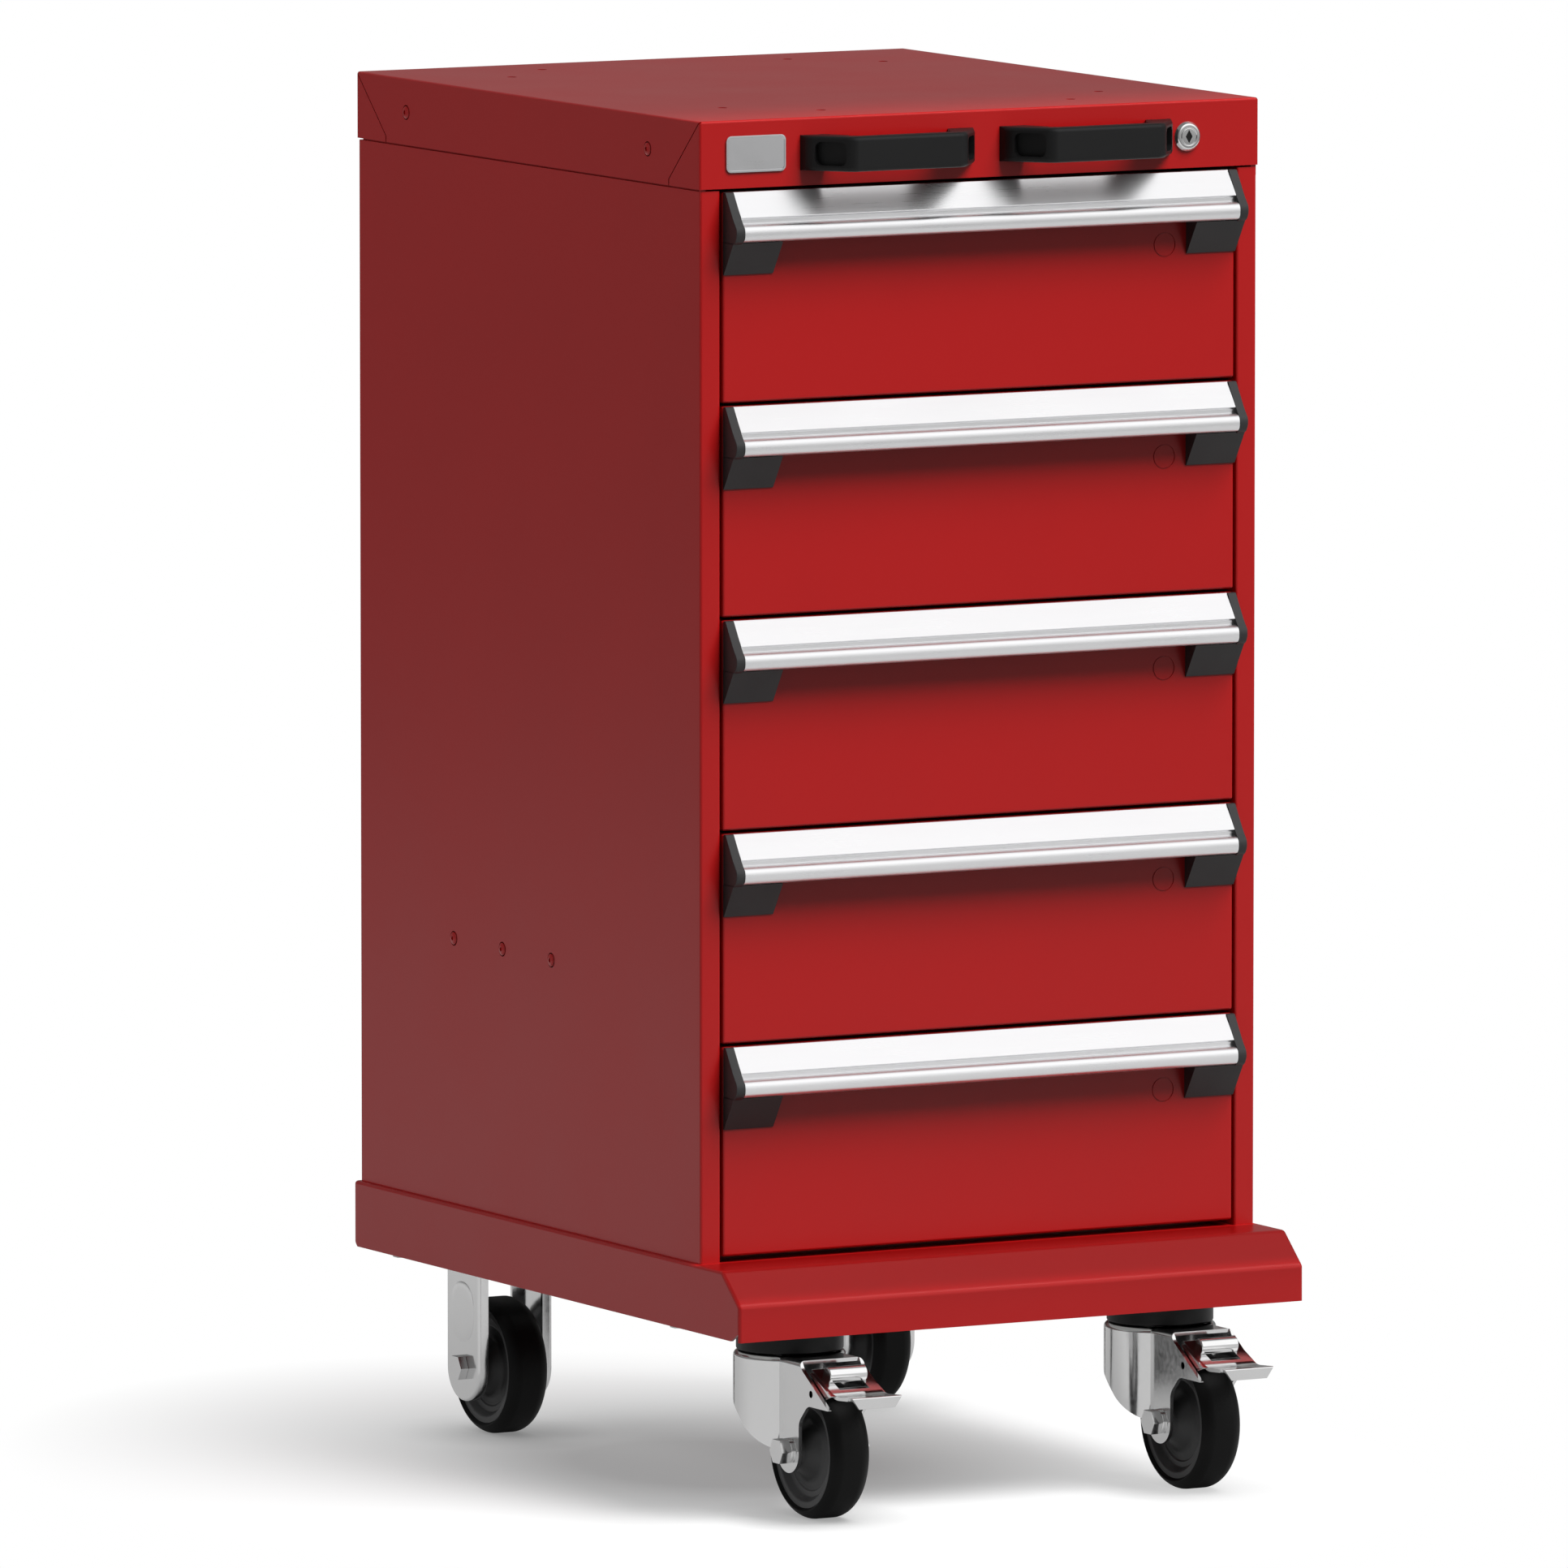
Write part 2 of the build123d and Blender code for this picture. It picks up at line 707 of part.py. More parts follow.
def panel_screws():
    """Button heads on the cover's skirt and the side panels, and the plugs in the cover's top."""
    with BuildPart() as screws:
        for side in sides.values():
            skirt_x = side * cover_width / 2
            panel_x = side * side_x
            spots = {}
            for turn in sides.values():
                spots[(skirt_x, housing_y + turn * cover_screw_y, cover_screw_z)] = cover_screw_stem
            for count in range(side_button_count):
                button_y = housing_y + side_button_first + count * side_button_pitch
                spots[(panel_x, button_y, side_button_z)] = sheet
            for spot, stem in spots.items():
                with BuildSketch(Plane(origin=spot, x_dir=(0, 1, 0), z_dir=(side, 0, 0))):
                    Circle(button_radius)
                extrude(amount=button_height, taper=button_taper)
                with BuildSketch(Plane(origin=spot, x_dir=(0, 1, 0), z_dir=(side, 0, 0))):
                    Circle(button_stem_radius)
                extrude(amount=-stem)
        for plug_x, plug_y in top_plugs:
            with BuildSketch(Plane.XY.offset(cover_top - top_plug_recess)):
                with Locations((0, housing_y)):
                    with GridLocations(2 * plug_x, 2 * plug_y, 2, 2):
                        Circle(top_plug_radius)
            extrude(amount=top_plug_recess - sheet)
            with BuildSketch(Plane.XY.offset(cover_top - sheet)):
                with Locations((0, housing_y)):
                    with GridLocations(2 * plug_x, 2 * plug_y, 2, 2):
                        Circle(top_plug_radius + top_plug_rim)
            extrude(amount=-top_plug_rim)
    return screws


def blank_plate():
    """Plain plate on the cover's front."""
    with BuildPart() as plate:
        with BuildSketch(Plane.XZ.offset(-cover_front_y)):
            with Locations((plate_x, cover_bottom + cover_height / 2)):
                RectangleRounded(plate_width, plate_height, plate_corner)
        extrude(amount=plate_thickness)
    return plate


def lock_housing():
    """Lock barrel with its bezel in front of the cover and its nut behind."""
    front = Plane.XZ.offset(-cover_front_y)
    with BuildPart() as housing:
        with BuildSketch(front):
            with Locations((lock_x, lock_z)):
                Circle(bezel_radius)
        extrude(amount=bezel_depth, taper=bezel_taper)
        with BuildSketch(front):
            with Locations((lock_x, lock_z)):
                Circle(lock_body_radius)
        extrude(amount=-lock_body_depth)
        with BuildSketch(front.offset(-sheet)):
            with Locations((lock_x, lock_z)):
                RegularPolygon(lock_nut_radius, 6)
        extrude(amount=-lock_nut_depth)
        with BuildSketch(front.offset(bezel_depth)):
            with Locations((lock_x, lock_z)):
                Circle(plug_radius + running_clearance)
        extrude(amount=-lock_body_depth - bezel_depth, mode=Mode.SUBTRACT)
    return housing


def lock_plug():
    """Turning plug with a pointed keyway in its face."""
    face = Plane.XZ.offset(-cover_front_y + bezel_depth)
    with BuildPart() as plug:
        with BuildSketch(face):
            with Locations((lock_x, lock_z)):
                Circle(plug_radius)
        extrude(amount=-bezel_depth - lock_body_depth - slide_clearance)
        with BuildSketch(face):
            with BuildLine():
                Polyline(
                    (lock_x - keyway_width / 2, lock_z),
                    (lock_x, lock_z + keyway_height / 2),
                    (lock_x + keyway_width / 2, lock_z),
                    (lock_x, lock_z - keyway_height / 2),
                    close=True,
                )
            make_face()
        extrude(amount=-keyway_depth, mode=Mode.SUBTRACT)
    return plug


def lock_cam():
    """Crank on the back of the plug, with the pin that lifts the lock bar."""
    reach = crank_radius / 2
    middle = (
        lock_x + reach * cos(radians(crank_rest_angle)),
        lock_z + reach * sin(radians(crank_rest_angle)),
    )
    pin_length = lock_bar_y + lock_bar_thickness - cam_y
    with BuildPart() as cam:
        with BuildSketch(Plane.XZ.offset(-cam_y)):
            with Locations(Location((middle[0], middle[1]), crank_rest_angle)):
                SlotOverall(crank_radius + 2 * cam_half_width, 2 * cam_half_width)
        extrude(amount=-cam_thickness)
        with BuildSketch(Plane.XZ.offset(-cam_y)):
            with Locations((pin_x, pin_z)):
                Circle(crank_pin_radius)
        extrude(amount=-pin_length)
    return cam


def lock_bar():
    """Flat bar behind the right post, with a slotted arm at the lock and a finger for each drawer."""
    low_z = drawer_bottom(drawer_count) + lock_finger_rise - lock_finger_height
    slot_height = 2 * (crank_pin_radius + crank_pin_play)
    slot_length = slot_height + crank_radius
    with BuildPart() as bar:
        slab(
            (lock_bar_x, lock_bar_x + lock_bar_width),
            (lock_bar_y, lock_bar_y + lock_bar_thickness),
            (low_z, pin_z + lock_arm_half_height),
        )
        slab(
            (pin_x - slot_length, lock_bar_x + lock_bar_width),
            (lock_bar_y, lock_bar_y + lock_bar_thickness),
            (pin_z - lock_arm_half_height, pin_z + lock_arm_half_height),
        )
        for number in drawers:
            finger_z = drawer_bottom(number) + lock_finger_rise
            slab(
                (lock_bar_x - lock_finger_reach, lock_bar_x),
                (lock_bar_y, lock_bar_y + lock_bar_thickness),
                (finger_z, finger_z + lock_finger_height),
            )
        with BuildSketch(Plane.XZ.offset(-lock_bar_y)):
            with Locations((pin_x, pin_z)):
                SlotOverall(slot_length, slot_height)
        extrude(amount=2 * lock_bar_thickness, both=True, mode=Mode.SUBTRACT)
    return bar


def drawer_box(number):
    """Drawer box with its front pan and the knock-out ring."""
    low = drawer_bottom(number)
    high = low + front_height
    half = front_width / 2
    floor_z = low + drawer_floor_rise
    rear = front_y + drawer_box_depth
    with BuildPart() as box:
        slab((-half, half), (front_y, front_y + drawer_front_depth), (low, high))
        slab(
            (-half + sheet, half - sheet),
            (front_y + sheet, front_y + drawer_front_depth),
            (low + sheet, high - sheet),
            mode=Mode.SUBTRACT,
        )
        slab((-box_x, box_x), (front_y + sheet, rear), (floor_z, floor_z + drawer_wall_height))
        slab(
            (-box_x + drawer_sheet, box_x - drawer_sheet),
            (front_y + sheet, rear - drawer_sheet),
            (floor_z + drawer_sheet, floor_z + drawer_wall_height),
            mode=Mode.SUBTRACT,
        )
        with BuildSketch(Plane.XZ.offset(-front_y)):
            with Locations((knockout_x, high - knockout_drop)):
                Circle(knockout_radius)
                Circle(knockout_radius - knockout_groove, mode=Mode.SUBTRACT)
        extrude(amount=-sheet / 3, mode=Mode.SUBTRACT)
    return box


def handle_strip(number):
    """Aluminium handle strip: sloped label face, groove and rounded pull lip."""
    top = drawer_bottom(number) + front_height
    length = front_width - 2 * cap_width
    nose_drop = (nose_top_drop + nose_bottom_drop) / 2
    lip_inner = nose_root_reach - lip_wall

    def spot(reach, drop):
        return (front_y - reach, top - drop)

    with BuildPart() as strip:
        with BuildSketch(Plane.YZ.offset(-length / 2)):
            with BuildLine():
                Polyline(
                    spot(0, flange_drop),
                    spot(0, 0),
                    spot(label_top_reach, 0),
                    spot(label_reach, label_drop),
                    spot(groove_reach, label_drop + lip_wall / 2),
                    spot(groove_reach, nose_top_drop),
                    spot(nose_root_reach, nose_top_drop),
                )
                ThreePointArc(
                    spot(nose_root_reach, nose_top_drop),
                    spot(nose_reach, nose_drop),
                    spot(nose_root_reach, nose_bottom_drop),
                )
                Polyline(
                    spot(nose_root_reach, nose_bottom_drop),
                    spot(lip_inner, nose_bottom_drop),
                    spot(lip_inner, nose_top_drop + lip_wall),
                    spot(groove_reach - lip_wall, nose_top_drop + lip_wall),
                    spot(groove_reach - lip_wall, label_drop),
                    spot(flange_wall, 2 * lip_wall),
                    spot(flange_wall, flange_drop),
                    spot(0, flange_drop),
                )
            make_face()
        extrude(amount=length)
    return strip


def handle_end_caps(number):
    """Moulded end caps of the handle strip, each with its sloped block below."""
    top = drawer_bottom(number) + front_height
    nose_drop = (nose_top_drop + nose_bottom_drop) / 2
    block_top = nose_bottom_drop + slide_clearance
    half = front_width / 2

    def spot(reach, drop):
        return (front_y - reach, top - drop)

    with BuildPart() as caps:
        for side in sides.values():
            start = half if side < 0 else cap_width - half
            with BuildSketch(Plane.YZ.offset(-start)):
                with BuildLine():
                    Polyline(
                        spot(0, block_top),
                        spot(0, 0),
                        spot(label_top_reach, 0),
                        spot(label_reach, label_drop),
                        spot(nose_root_reach + lip_wall, nose_top_drop),
                    )
                    ThreePointArc(
                        spot(nose_root_reach + lip_wall, nose_top_drop),
                        spot(nose_reach, nose_drop),
                        spot(nose_root_reach, block_top),
                    )
                    Line(spot(nose_root_reach, block_top), spot(0, block_top))
                make_face()
            extrude(amount=cap_width)
            block_start = half if side < 0 else cap_block_width - half
            with BuildSketch(Plane.YZ.offset(-block_start)):
                with BuildLine():
                    Polyline(
                        spot(0, block_top),
                        spot(nose_root_reach, block_top),
                        spot(cap_block_foot, cap_block_drop),
                        spot(0, cap_block_drop),
                        close=True,
                    )
                make_face()
            extrude(amount=cap_block_width)
    return caps


def drawer_rails(number):
    """Channels on both sides of a drawer box, open outwards, and the angle that catches the lock bar."""
    rail_z = drawer_bottom(number) + rail_rise
    catch_z = drawer_bottom(number) + catch_rise
    catch_x = box_x + weld_gap
    inner = rail_half_height - rail_sheet
    ends = (rail_front_y, rail_front_y + carriage_length)
    with BuildPart() as rails:
        for side in sides.values():
            slab(
                (side * box_x, side * (box_x + drawer_rail_width)),
                ends,
                (rail_z - rail_half_height, rail_z + rail_half_height),
            )
            slab(
                (side * (box_x + rail_sheet), side * (box_x + drawer_rail_width)),
                ends,
                (rail_z - inner, rail_z + inner),
                mode=Mode.SUBTRACT,
            )
        slab((catch_x, box_x + catch_width), (catch_y, catch_y + sheet), (catch_z, catch_z + catch_height))
        slab((catch_x, catch_x + sheet), (catch_y, catch_y + catch_foot), (catch_z, catch_z + catch_height))
    return rails


def slide_carriages(number):
    """Middle rails that run between the cabinet rails and the drawer rails."""
    rail_z = drawer_bottom(number) + rail_rise
    reach = rail_half_height - rail_sheet - slide_clearance
    inner_x = carriage_outer_x - carriage_width
    middle_x = (inner_x + carriage_outer_x) / 2
    ends = (rail_front_y, rail_front_y + carriage_length)
    with BuildPart() as carriages:
        for side in sides.values():
            span = (side * inner_x, side * carriage_outer_x)
            slab(span, ends, (rail_z + reach - rail_sheet, rail_z + reach))
            slab(span, ends, (rail_z - reach, rail_z - reach + rail_sheet))
            slab(
                (side * (middle_x - rail_sheet / 2), side * (middle_x + rail_sheet / 2)),
                ends,
                (rail_z - reach, rail_z + reach),
            )
    return carriages


def cabinet_rails():
    """Channels on the side panels, open inwards, each on two feet."""
    inner = rail_half_height - rail_sheet
    web_x = cabinet_rail_x + rail_sheet
    lip_x = web_x - cabinet_rail_width
    ends = (rail_front_y, rail_front_y + cabinet_rail_length)
    panel_x = side_x - sheet
    foot_y = (rail_front_y + rail_foot_inset, rail_front_y + cabinet_rail_length - rail_foot_inset)
    with BuildPart() as rails:
        for number in drawers:
            rail_z = drawer_bottom(number) + rail_rise
            for side in sides.values():
                slab(
                    (side * lip_x, side * web_x),
                    ends,
                    (rail_z - rail_half_height, rail_z + rail_half_height),
                )
                slab(
                    (side * lip_x, side * cabinet_rail_x),
                    ends,
                    (rail_z - inner, rail_z + inner),
                    mode=Mode.SUBTRACT,
                )
                for middle_y in foot_y:
                    slab(
                        (side * web_x, side * panel_x),
                        (middle_y - rail_foot_length / 2, middle_y + rail_foot_length / 2),
                        (rail_z - rail_foot_height / 2, rail_z + rail_foot_height / 2),
                    )
    return rails


def wheel_plane(x, y):
    """Plane through a wheel's axle, with X along the axle and Z outwards."""
    return Plane(origin=(x, y, axle_z), x_dir=(1, 0, 0), z_dir=(0, -1, 0))


def wheel_core(x, y, gap):
    """Moulded wheel centre with dished web and rim, and a hub that fills the gap of its fork."""
    half_hub = gap / 2 - hub_play
    half_rim = rim_width / 2
    half_web = web_width / 2
    with BuildPart() as core:
        with BuildSketch(wheel_plane(x, y)):
            with BuildLine():
                Polyline(
                    (-half_hub, axle_radius + running_clearance),
                    (-half_hub, hub_radius),
                    (-half_web, hub_radius + hub_flare),
                    (-half_web, web_radius),
                    (-half_rim, rim_lip_radius),
                    (-half_rim, rim_radius),
                    (half_rim, rim_radius),
                    (half_rim, rim_lip_radius),
                    (half_web, web_radius),
                    (half_web, hub_radius + hub_flare),
                    (half_hub, hub_radius),
                    (half_hub, axle_radius + running_clearance),
                    close=True,
                )
            make_face()
        revolve(axis=Axis((x, y, axle_z), (1, 0, 0)))
    return core


def tyre(x, y):
    """Rubber tyre with rounded shoulders, bonded to the rim."""
    half = tyre_width / 2
    flat = tyre_flat / 2
    tread = wheel_diameter / 2
    half_rim = rim_width / 2
    with BuildPart() as ring:
        with BuildSketch(wheel_plane(x, y)):
            with BuildLine():
                Line((-flat, tread), (flat, tread))
                TangentArc((flat, tread), (half, tyre_side_radius), tangent=(1, 0))
                Polyline(
                    (half, tyre_side_radius),
                    (half_rim, rim_radius),
                    (-half_rim, rim_radius),
                    (-half, tyre_side_radius),
                )
                TangentArc((-flat, tread), (-half, tyre_side_radius), tangent=(-1, 0))
            make_face()
        revolve(axis=Axis((x, y, axle_z), (1, 0, 0)))
    return ring


def add_axle(x, y, outer, collar):
    """Axle across a fork, with a collar on each leg where it has one."""
    with Locations(Location((x, y, axle_z), (0, 90, 0))):
        Cylinder(axle_radius, 2 * (outer + collar))
    if collar > 0:
        for side in sides.values():
            with Locations(Location((x + side * (outer + collar / 2), y, axle_z), (0, 90, 0))):
                Cylinder(axle_collar_radius, collar)


def axles(places, outer, collar, head):
    """Axle bolts at the given wheel centres, with a hexagon head at each end."""
    with BuildPart() as bolts:
        for x, y in places:
            add_axle(x, y, outer, collar)
            for side in sides.values():
                seat = (x + side * (outer + collar), y, axle_z)
                with BuildSketch(Plane(origin=seat, x_dir=(0, 1, 0), z_dir=(side, 0, 0))):
                    RegularPolygon(axle_head_radius, 6)
                extrude(amount=head)
    return bolts


def rear_forks():
    """Rigid forks: top plate and two rounded legs with turned-in edges."""
    plate_bottom = caster_plate_bottom
    half_leg = rear_leg_width / 2
    with BuildPart() as forks:
        for caster_side in sides.values():
            x = caster_side * caster_x
            slab(
                (x - plate_length / 2, x + plate_length / 2),
                (rear_axle_y - plate_depth / 2, rear_axle_y + plate_depth / 2),
                (plate_bottom, caster_height),
            )
            for side in sides.values():
                inner_x = x + side * rear_fork_gap / 2
                leg = Plane(origin=(inner_x, rear_axle_y, axle_z), x_dir=(0, side, 0), z_dir=(side, 0, 0))
                with BuildSketch(leg):
                    Circle(half_leg)
                    with Locations((0, (plate_bottom - axle_z) / 2)):
                        Rectangle(rear_leg_width, plate_bottom - axle_z)
                    Circle(axle_radius + bolt_clearance, mode=Mode.SUBTRACT)
                extrude(amount=fork_sheet)
                for edge in sides.values():
                    edge_y = rear_axle_y + edge * half_leg
                    slab(
                        (inner_x, inner_x - side * rear_flange_width),
                        (edge_y, edge_y - edge * fork_sheet),
                        (rear_flange_foot, plate_bottom),
                    )
                pad_z = (axle_z + plate_bottom) / 2 + emboss_rise
                with BuildSketch(
                    Plane(
                        origin=(inner_x + side * fork_sheet, rear_axle_y, pad_z),
                        x_dir=(0, side, 0),
                        z_dir=(side, 0, 0),
                    )
                ):
                    RectangleRounded(emboss_width, emboss_height, emboss_width / 2 - 1)
                extrude(amount=emboss_thickness)
            with Locations((x, rear_axle_y, plate_bottom)):
                with GridLocations(bolt_spacing_x, bolt_spacing_y, 2, 2):
                    Cylinder(bolt_hole_radius, 4 * caster_plate_thickness, mode=Mode.SUBTRACT)
    return forks


def swivel_plates():
    """Top plates of the front casters, each with its raceway and kingpin."""
    plate_bottom = caster_plate_bottom
    raceway_bottom = fork_top + slide_clearance
    head_top = fork_underside - slide_clearance
    with BuildPart() as plates:
        for caster_side in sides.values():
            x = caster_side * caster_x
            slab(
                (x - plate_length / 2, x + plate_length / 2),
                (swivel_y - plate_depth / 2, swivel_y + plate_depth / 2),
                (plate_bottom, caster_height),
            )
            with Locations((x, swivel_y, plate_bottom)):
                with GridLocations(bolt_spacing_x, bolt_spacing_y, 2, 2):
                    Cylinder(bolt_hole_radius, 4 * caster_plate_thickness, mode=Mode.SUBTRACT)
            with BuildSketch(Plane.XY.offset(raceway_bottom)):
                with Locations((x, swivel_y)):
                    Circle(raceway_radius)
            extrude(amount=plate_bottom - raceway_bottom)
            with BuildSketch(Plane.XY.offset(head_top)):
                with Locations((x, swivel_y)):
                    Circle(kingpin_radius)
            extrude(amount=raceway_bottom - head_top)
            with BuildSketch(Plane.XY.offset(head_top)):
                with Locations((x, swivel_y)):
                    Circle(kingpin_head_radius)
            extrude(amount=-kingpin_head)
    return plates


def dust_rings():
    """Black rings round the raceways."""
    low_z = fork_top + 2 * slide_clearance
    with BuildPart() as rings:
        for caster_side in sides.values():
            with BuildSketch(Plane.XY.offset(low_z)):
                with Locations((caster_side * caster_x, swivel_y)):
                    Circle(dust_ring_radius)
                    Circle(dust_ring_radius - dust_ring_wall, mode=Mode.SUBTRACT)
            extrude(amount=dust_ring_top - low_z)
    return rings


def front_fork(x):
    """Swivel fork: round hood, two legs with forward wings, and a crown with the kingpin hole."""
    inner = leg_outer - fork_sheet
    hood_inner = hood_radius - fork_sheet

    def spot(forward, height):
        return (swivel_y - forward, height)

    with BuildPart() as fork:
        with BuildSketch(Plane.XY.offset(axle_z - leg_round)):
            with Locations((x, swivel_y)):
                Circle(hood_radius)
            with Locations((x, swivel_y - wing_front / 2)):
                Rectangle(2 * leg_outer, wing_front)
            with Locations((x, swivel_y)):
                Circle(hood_inner, mode=Mode.SUBTRACT)
            with Locations((x, swivel_y - wing_front / 2)):
                Rectangle(2 * inner, wing_front, mode=Mode.SUBTRACT)
        extrude(amount=fork_top - axle_z + leg_round)
        with BuildSketch(Plane.YZ.offset(x - hood_radius)):
            with BuildLine():
                Polyline(
                    spot(leg_front, axle_z),
                    spot(leg_front, wing_foot - (cutout_front - leg_front)),
                    spot(cutout_front, wing_foot),
                    spot(wing_front, wing_foot),
                    spot(wing_top_front, wing_top),
                    spot(leg_front, fork_top),
                    spot(-hood_radius, fork_top),
                    spot(-hood_radius, hood_foot),
                )
                TangentArc(
                    spot(hood_joint_forward, hood_joint_height),
                    spot(-hood_radius, hood_foot),
                    tangent=(1, 1),
                )
                TangentArc(
                    spot(hood_joint_forward, hood_joint_height),
                    spot(trail - leg_round, axle_z),
                    tangent=(-1, -1),
                )
                ThreePointArc(
                    spot(trail - leg_round, axle_z),
                    spot(trail, axle_z - leg_round),
                    spot(trail + leg_round, axle_z),
                )
            make_face()
        extrude(amount=2 * hood_radius, mode=Mode.INTERSECT)
        with BuildSketch(Plane.XY.offset(fork_underside)):
            with Locations((x, swivel_y)):
                Circle(hood_radius)
            with Locations((x, swivel_y - leg_front / 2)):
                Rectangle(2 * leg_outer, leg_front)
            with Locations((x, swivel_y)):
                Circle(kingpin_radius + running_clearance, mode=Mode.SUBTRACT)
        extrude(amount=fork_sheet)
        with Locations(Location((x, front_axle_y, axle_z), (0, 90, 0))):
            Cylinder(axle_radius + bolt_clearance, 4 * leg_outer, mode=Mode.SUBTRACT)
        with Locations(Location((x, swivel_y - pedal_pin_forward, pedal_pin_height), (0, 90, 0))):
            Cylinder(pedal_pin_radius + running_clearance, 4 * leg_outer, mode=Mode.SUBTRACT)
    return fork


def brake_pedal(x):
    """Foot pedal: cross pin in the wings, ears, sloped plate with a window, roll and tread."""
    half = pedal_half_width
    ear_outer = fork_gap / 2 - pedal_ear_gap

    def spot(forward, height):
        return (swivel_y - forward, height)

    with BuildPart() as pedal:
        with BuildSketch(Plane.YZ.offset(x - half)):
            with BuildLine():
                Polyline(
                    spot(pedal_top_forward, pedal_top_height),
                    spot(pedal_fold_forward, pedal_fold_height),
                    spot(pedal_reach, pedal_front_height),
                    spot(pedal_reach, pedal_front_height - pedal_sheet),
                    spot(pedal_fold_forward, pedal_fold_height - pedal_sheet),
                    spot(pedal_top_forward, pedal_top_height - pedal_sheet),
                    close=True,
                )
            make_face()
        extrude(amount=2 * half)
        slab(
            (x - pedal_window_half, x + pedal_window_half),
            (swivel_y - pedal_window_near, swivel_y - pedal_window_far),
            (pedal_pin_height, pedal_top_height),
            mode=Mode.SUBTRACT,
        )
        with BuildSketch(Plane.XZ.offset(pedal_reach - swivel_y)):
            with BuildLine():
                Polyline(
                    (x - half, pedal_front_height),
                    (x + half, pedal_front_height),
                    (x + half - pedal_lip_taper, pedal_front_height - pedal_lip_height),
                    (x - half + pedal_lip_taper, pedal_front_height - pedal_lip_height),
                    close=True,
                )
            make_face()
        extrude(amount=-pedal_sheet)
        for side in sides.values():
            ear_x = x + side * (ear_outer - pedal_sheet)
            with BuildSketch(Plane.YZ.offset(ear_x)):
                with BuildLine():
                    Polyline(
                        spot(pedal_top_forward, pedal_top_height - pedal_sheet / 2),
                        spot(pedal_fold_forward, pedal_fold_height - pedal_sheet / 2),
                        spot(pedal_pin_forward, pedal_pin_height - pedal_ear_radius),
                        spot(pedal_pin_forward - pedal_ear_radius, pedal_pin_height),
                        close=True,
                    )
                make_face()
                with Locations(spot(pedal_pin_forward, pedal_pin_height)):
                    Circle(pedal_ear_radius)
            extrude(amount=side * pedal_sheet)
        with Locations(Location((x, swivel_y - pedal_pin_forward, pedal_pin_height), (0, 90, 0))):
            Cylinder(pedal_pin_radius, 2 * leg_outer)
        with Locations(Location((x, swivel_y - pedal_roll_forward, pedal_roll_height), (0, 90, 0))):
            Cylinder(pedal_roll_radius, 2 * pedal_roll_half_length)
    return pedal


def main():
    """Build every piece and write its file."""
    os.makedirs("parts", exist_ok=True)
    for name, side in sides.items():
        save(side_panel(side), f"{name}_side_panel")
    save(back_panel(), "back_panel")
    save(housing_floor(), "housing_floor")
    save(top_cover(), "top_cover")
    save(base_pan(), "base_pan")
    save(caster_channels(), "caster_channels")
    save(base_bolts(), "base_bolts")
    save(push_handles(), "push_handles")
    save(push_handle_screws(), "push_handle_screws")
    save(panel_screws(), "panel_screws")
    save(blank_plate(), "blank_plate")
    save(lock_housing(), "lock_housing")
    save(lock_plug(), "lock_plug")
    save(lock_cam(), "lock_cam")
    save(lock_bar(), "lock_bar")
    save(cabinet_rails(), "cabinet_rails")
    for number in drawers:
        save(drawer_box(number), f"drawer_{number}_box")
        save(handle_strip(number), f"drawer_{number}_handle_strip")
        save(handle_end_caps(number), f"drawer_{number}_end_caps")
        save(drawer_rails(number), f"drawer_{number}_rails")
        save(slide_carriages(number), f"drawer_{number}_carriages")
    save(rear_forks(), "rear_forks")
    rear_places = [(side * caster_x, rear_axle_y) for side in sides.values()]
    save(axles(rear_places, rear_leg_outer, 0, rear_axle_head), "rear_axles")
    save(swivel_plates(), "swivel_plates")
    save(dust_rings(), "dust_rings")
    for name, side in sides.items():
        x = side * caster_x
        save(wheel_core(x, rear_axle_y, rear_fork_gap), f"rear_{name}_wheel_core")
        save(tyre(x, rear_axle_y), f"rear_{name}_tyre")
        save(front_fork(x), f"front_{name}_fork")
        front_bolt = axles([(x, front_axle_y)], leg_outer, axle_collar, front_axle_head)
        save(front_bolt, f"front_{name}_axle")
        save(wheel_core(x, front_axle_y, fork_gap), f"front_{name}_wheel_core")
        save(tyre(x, front_axle_y), f"front_{name}_tyre")
        save(brake_pedal(x), f"front_{name}_brake_pedal")


main()
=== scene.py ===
from math import cos, pi, radians, sin, sqrt

import bmesh
import bpy
from bpy.props import FloatProperty, FloatVectorProperty, PointerProperty
from bpy.types import Operator, Panel, PropertyGroup
from mathutils import Matrix, Vector


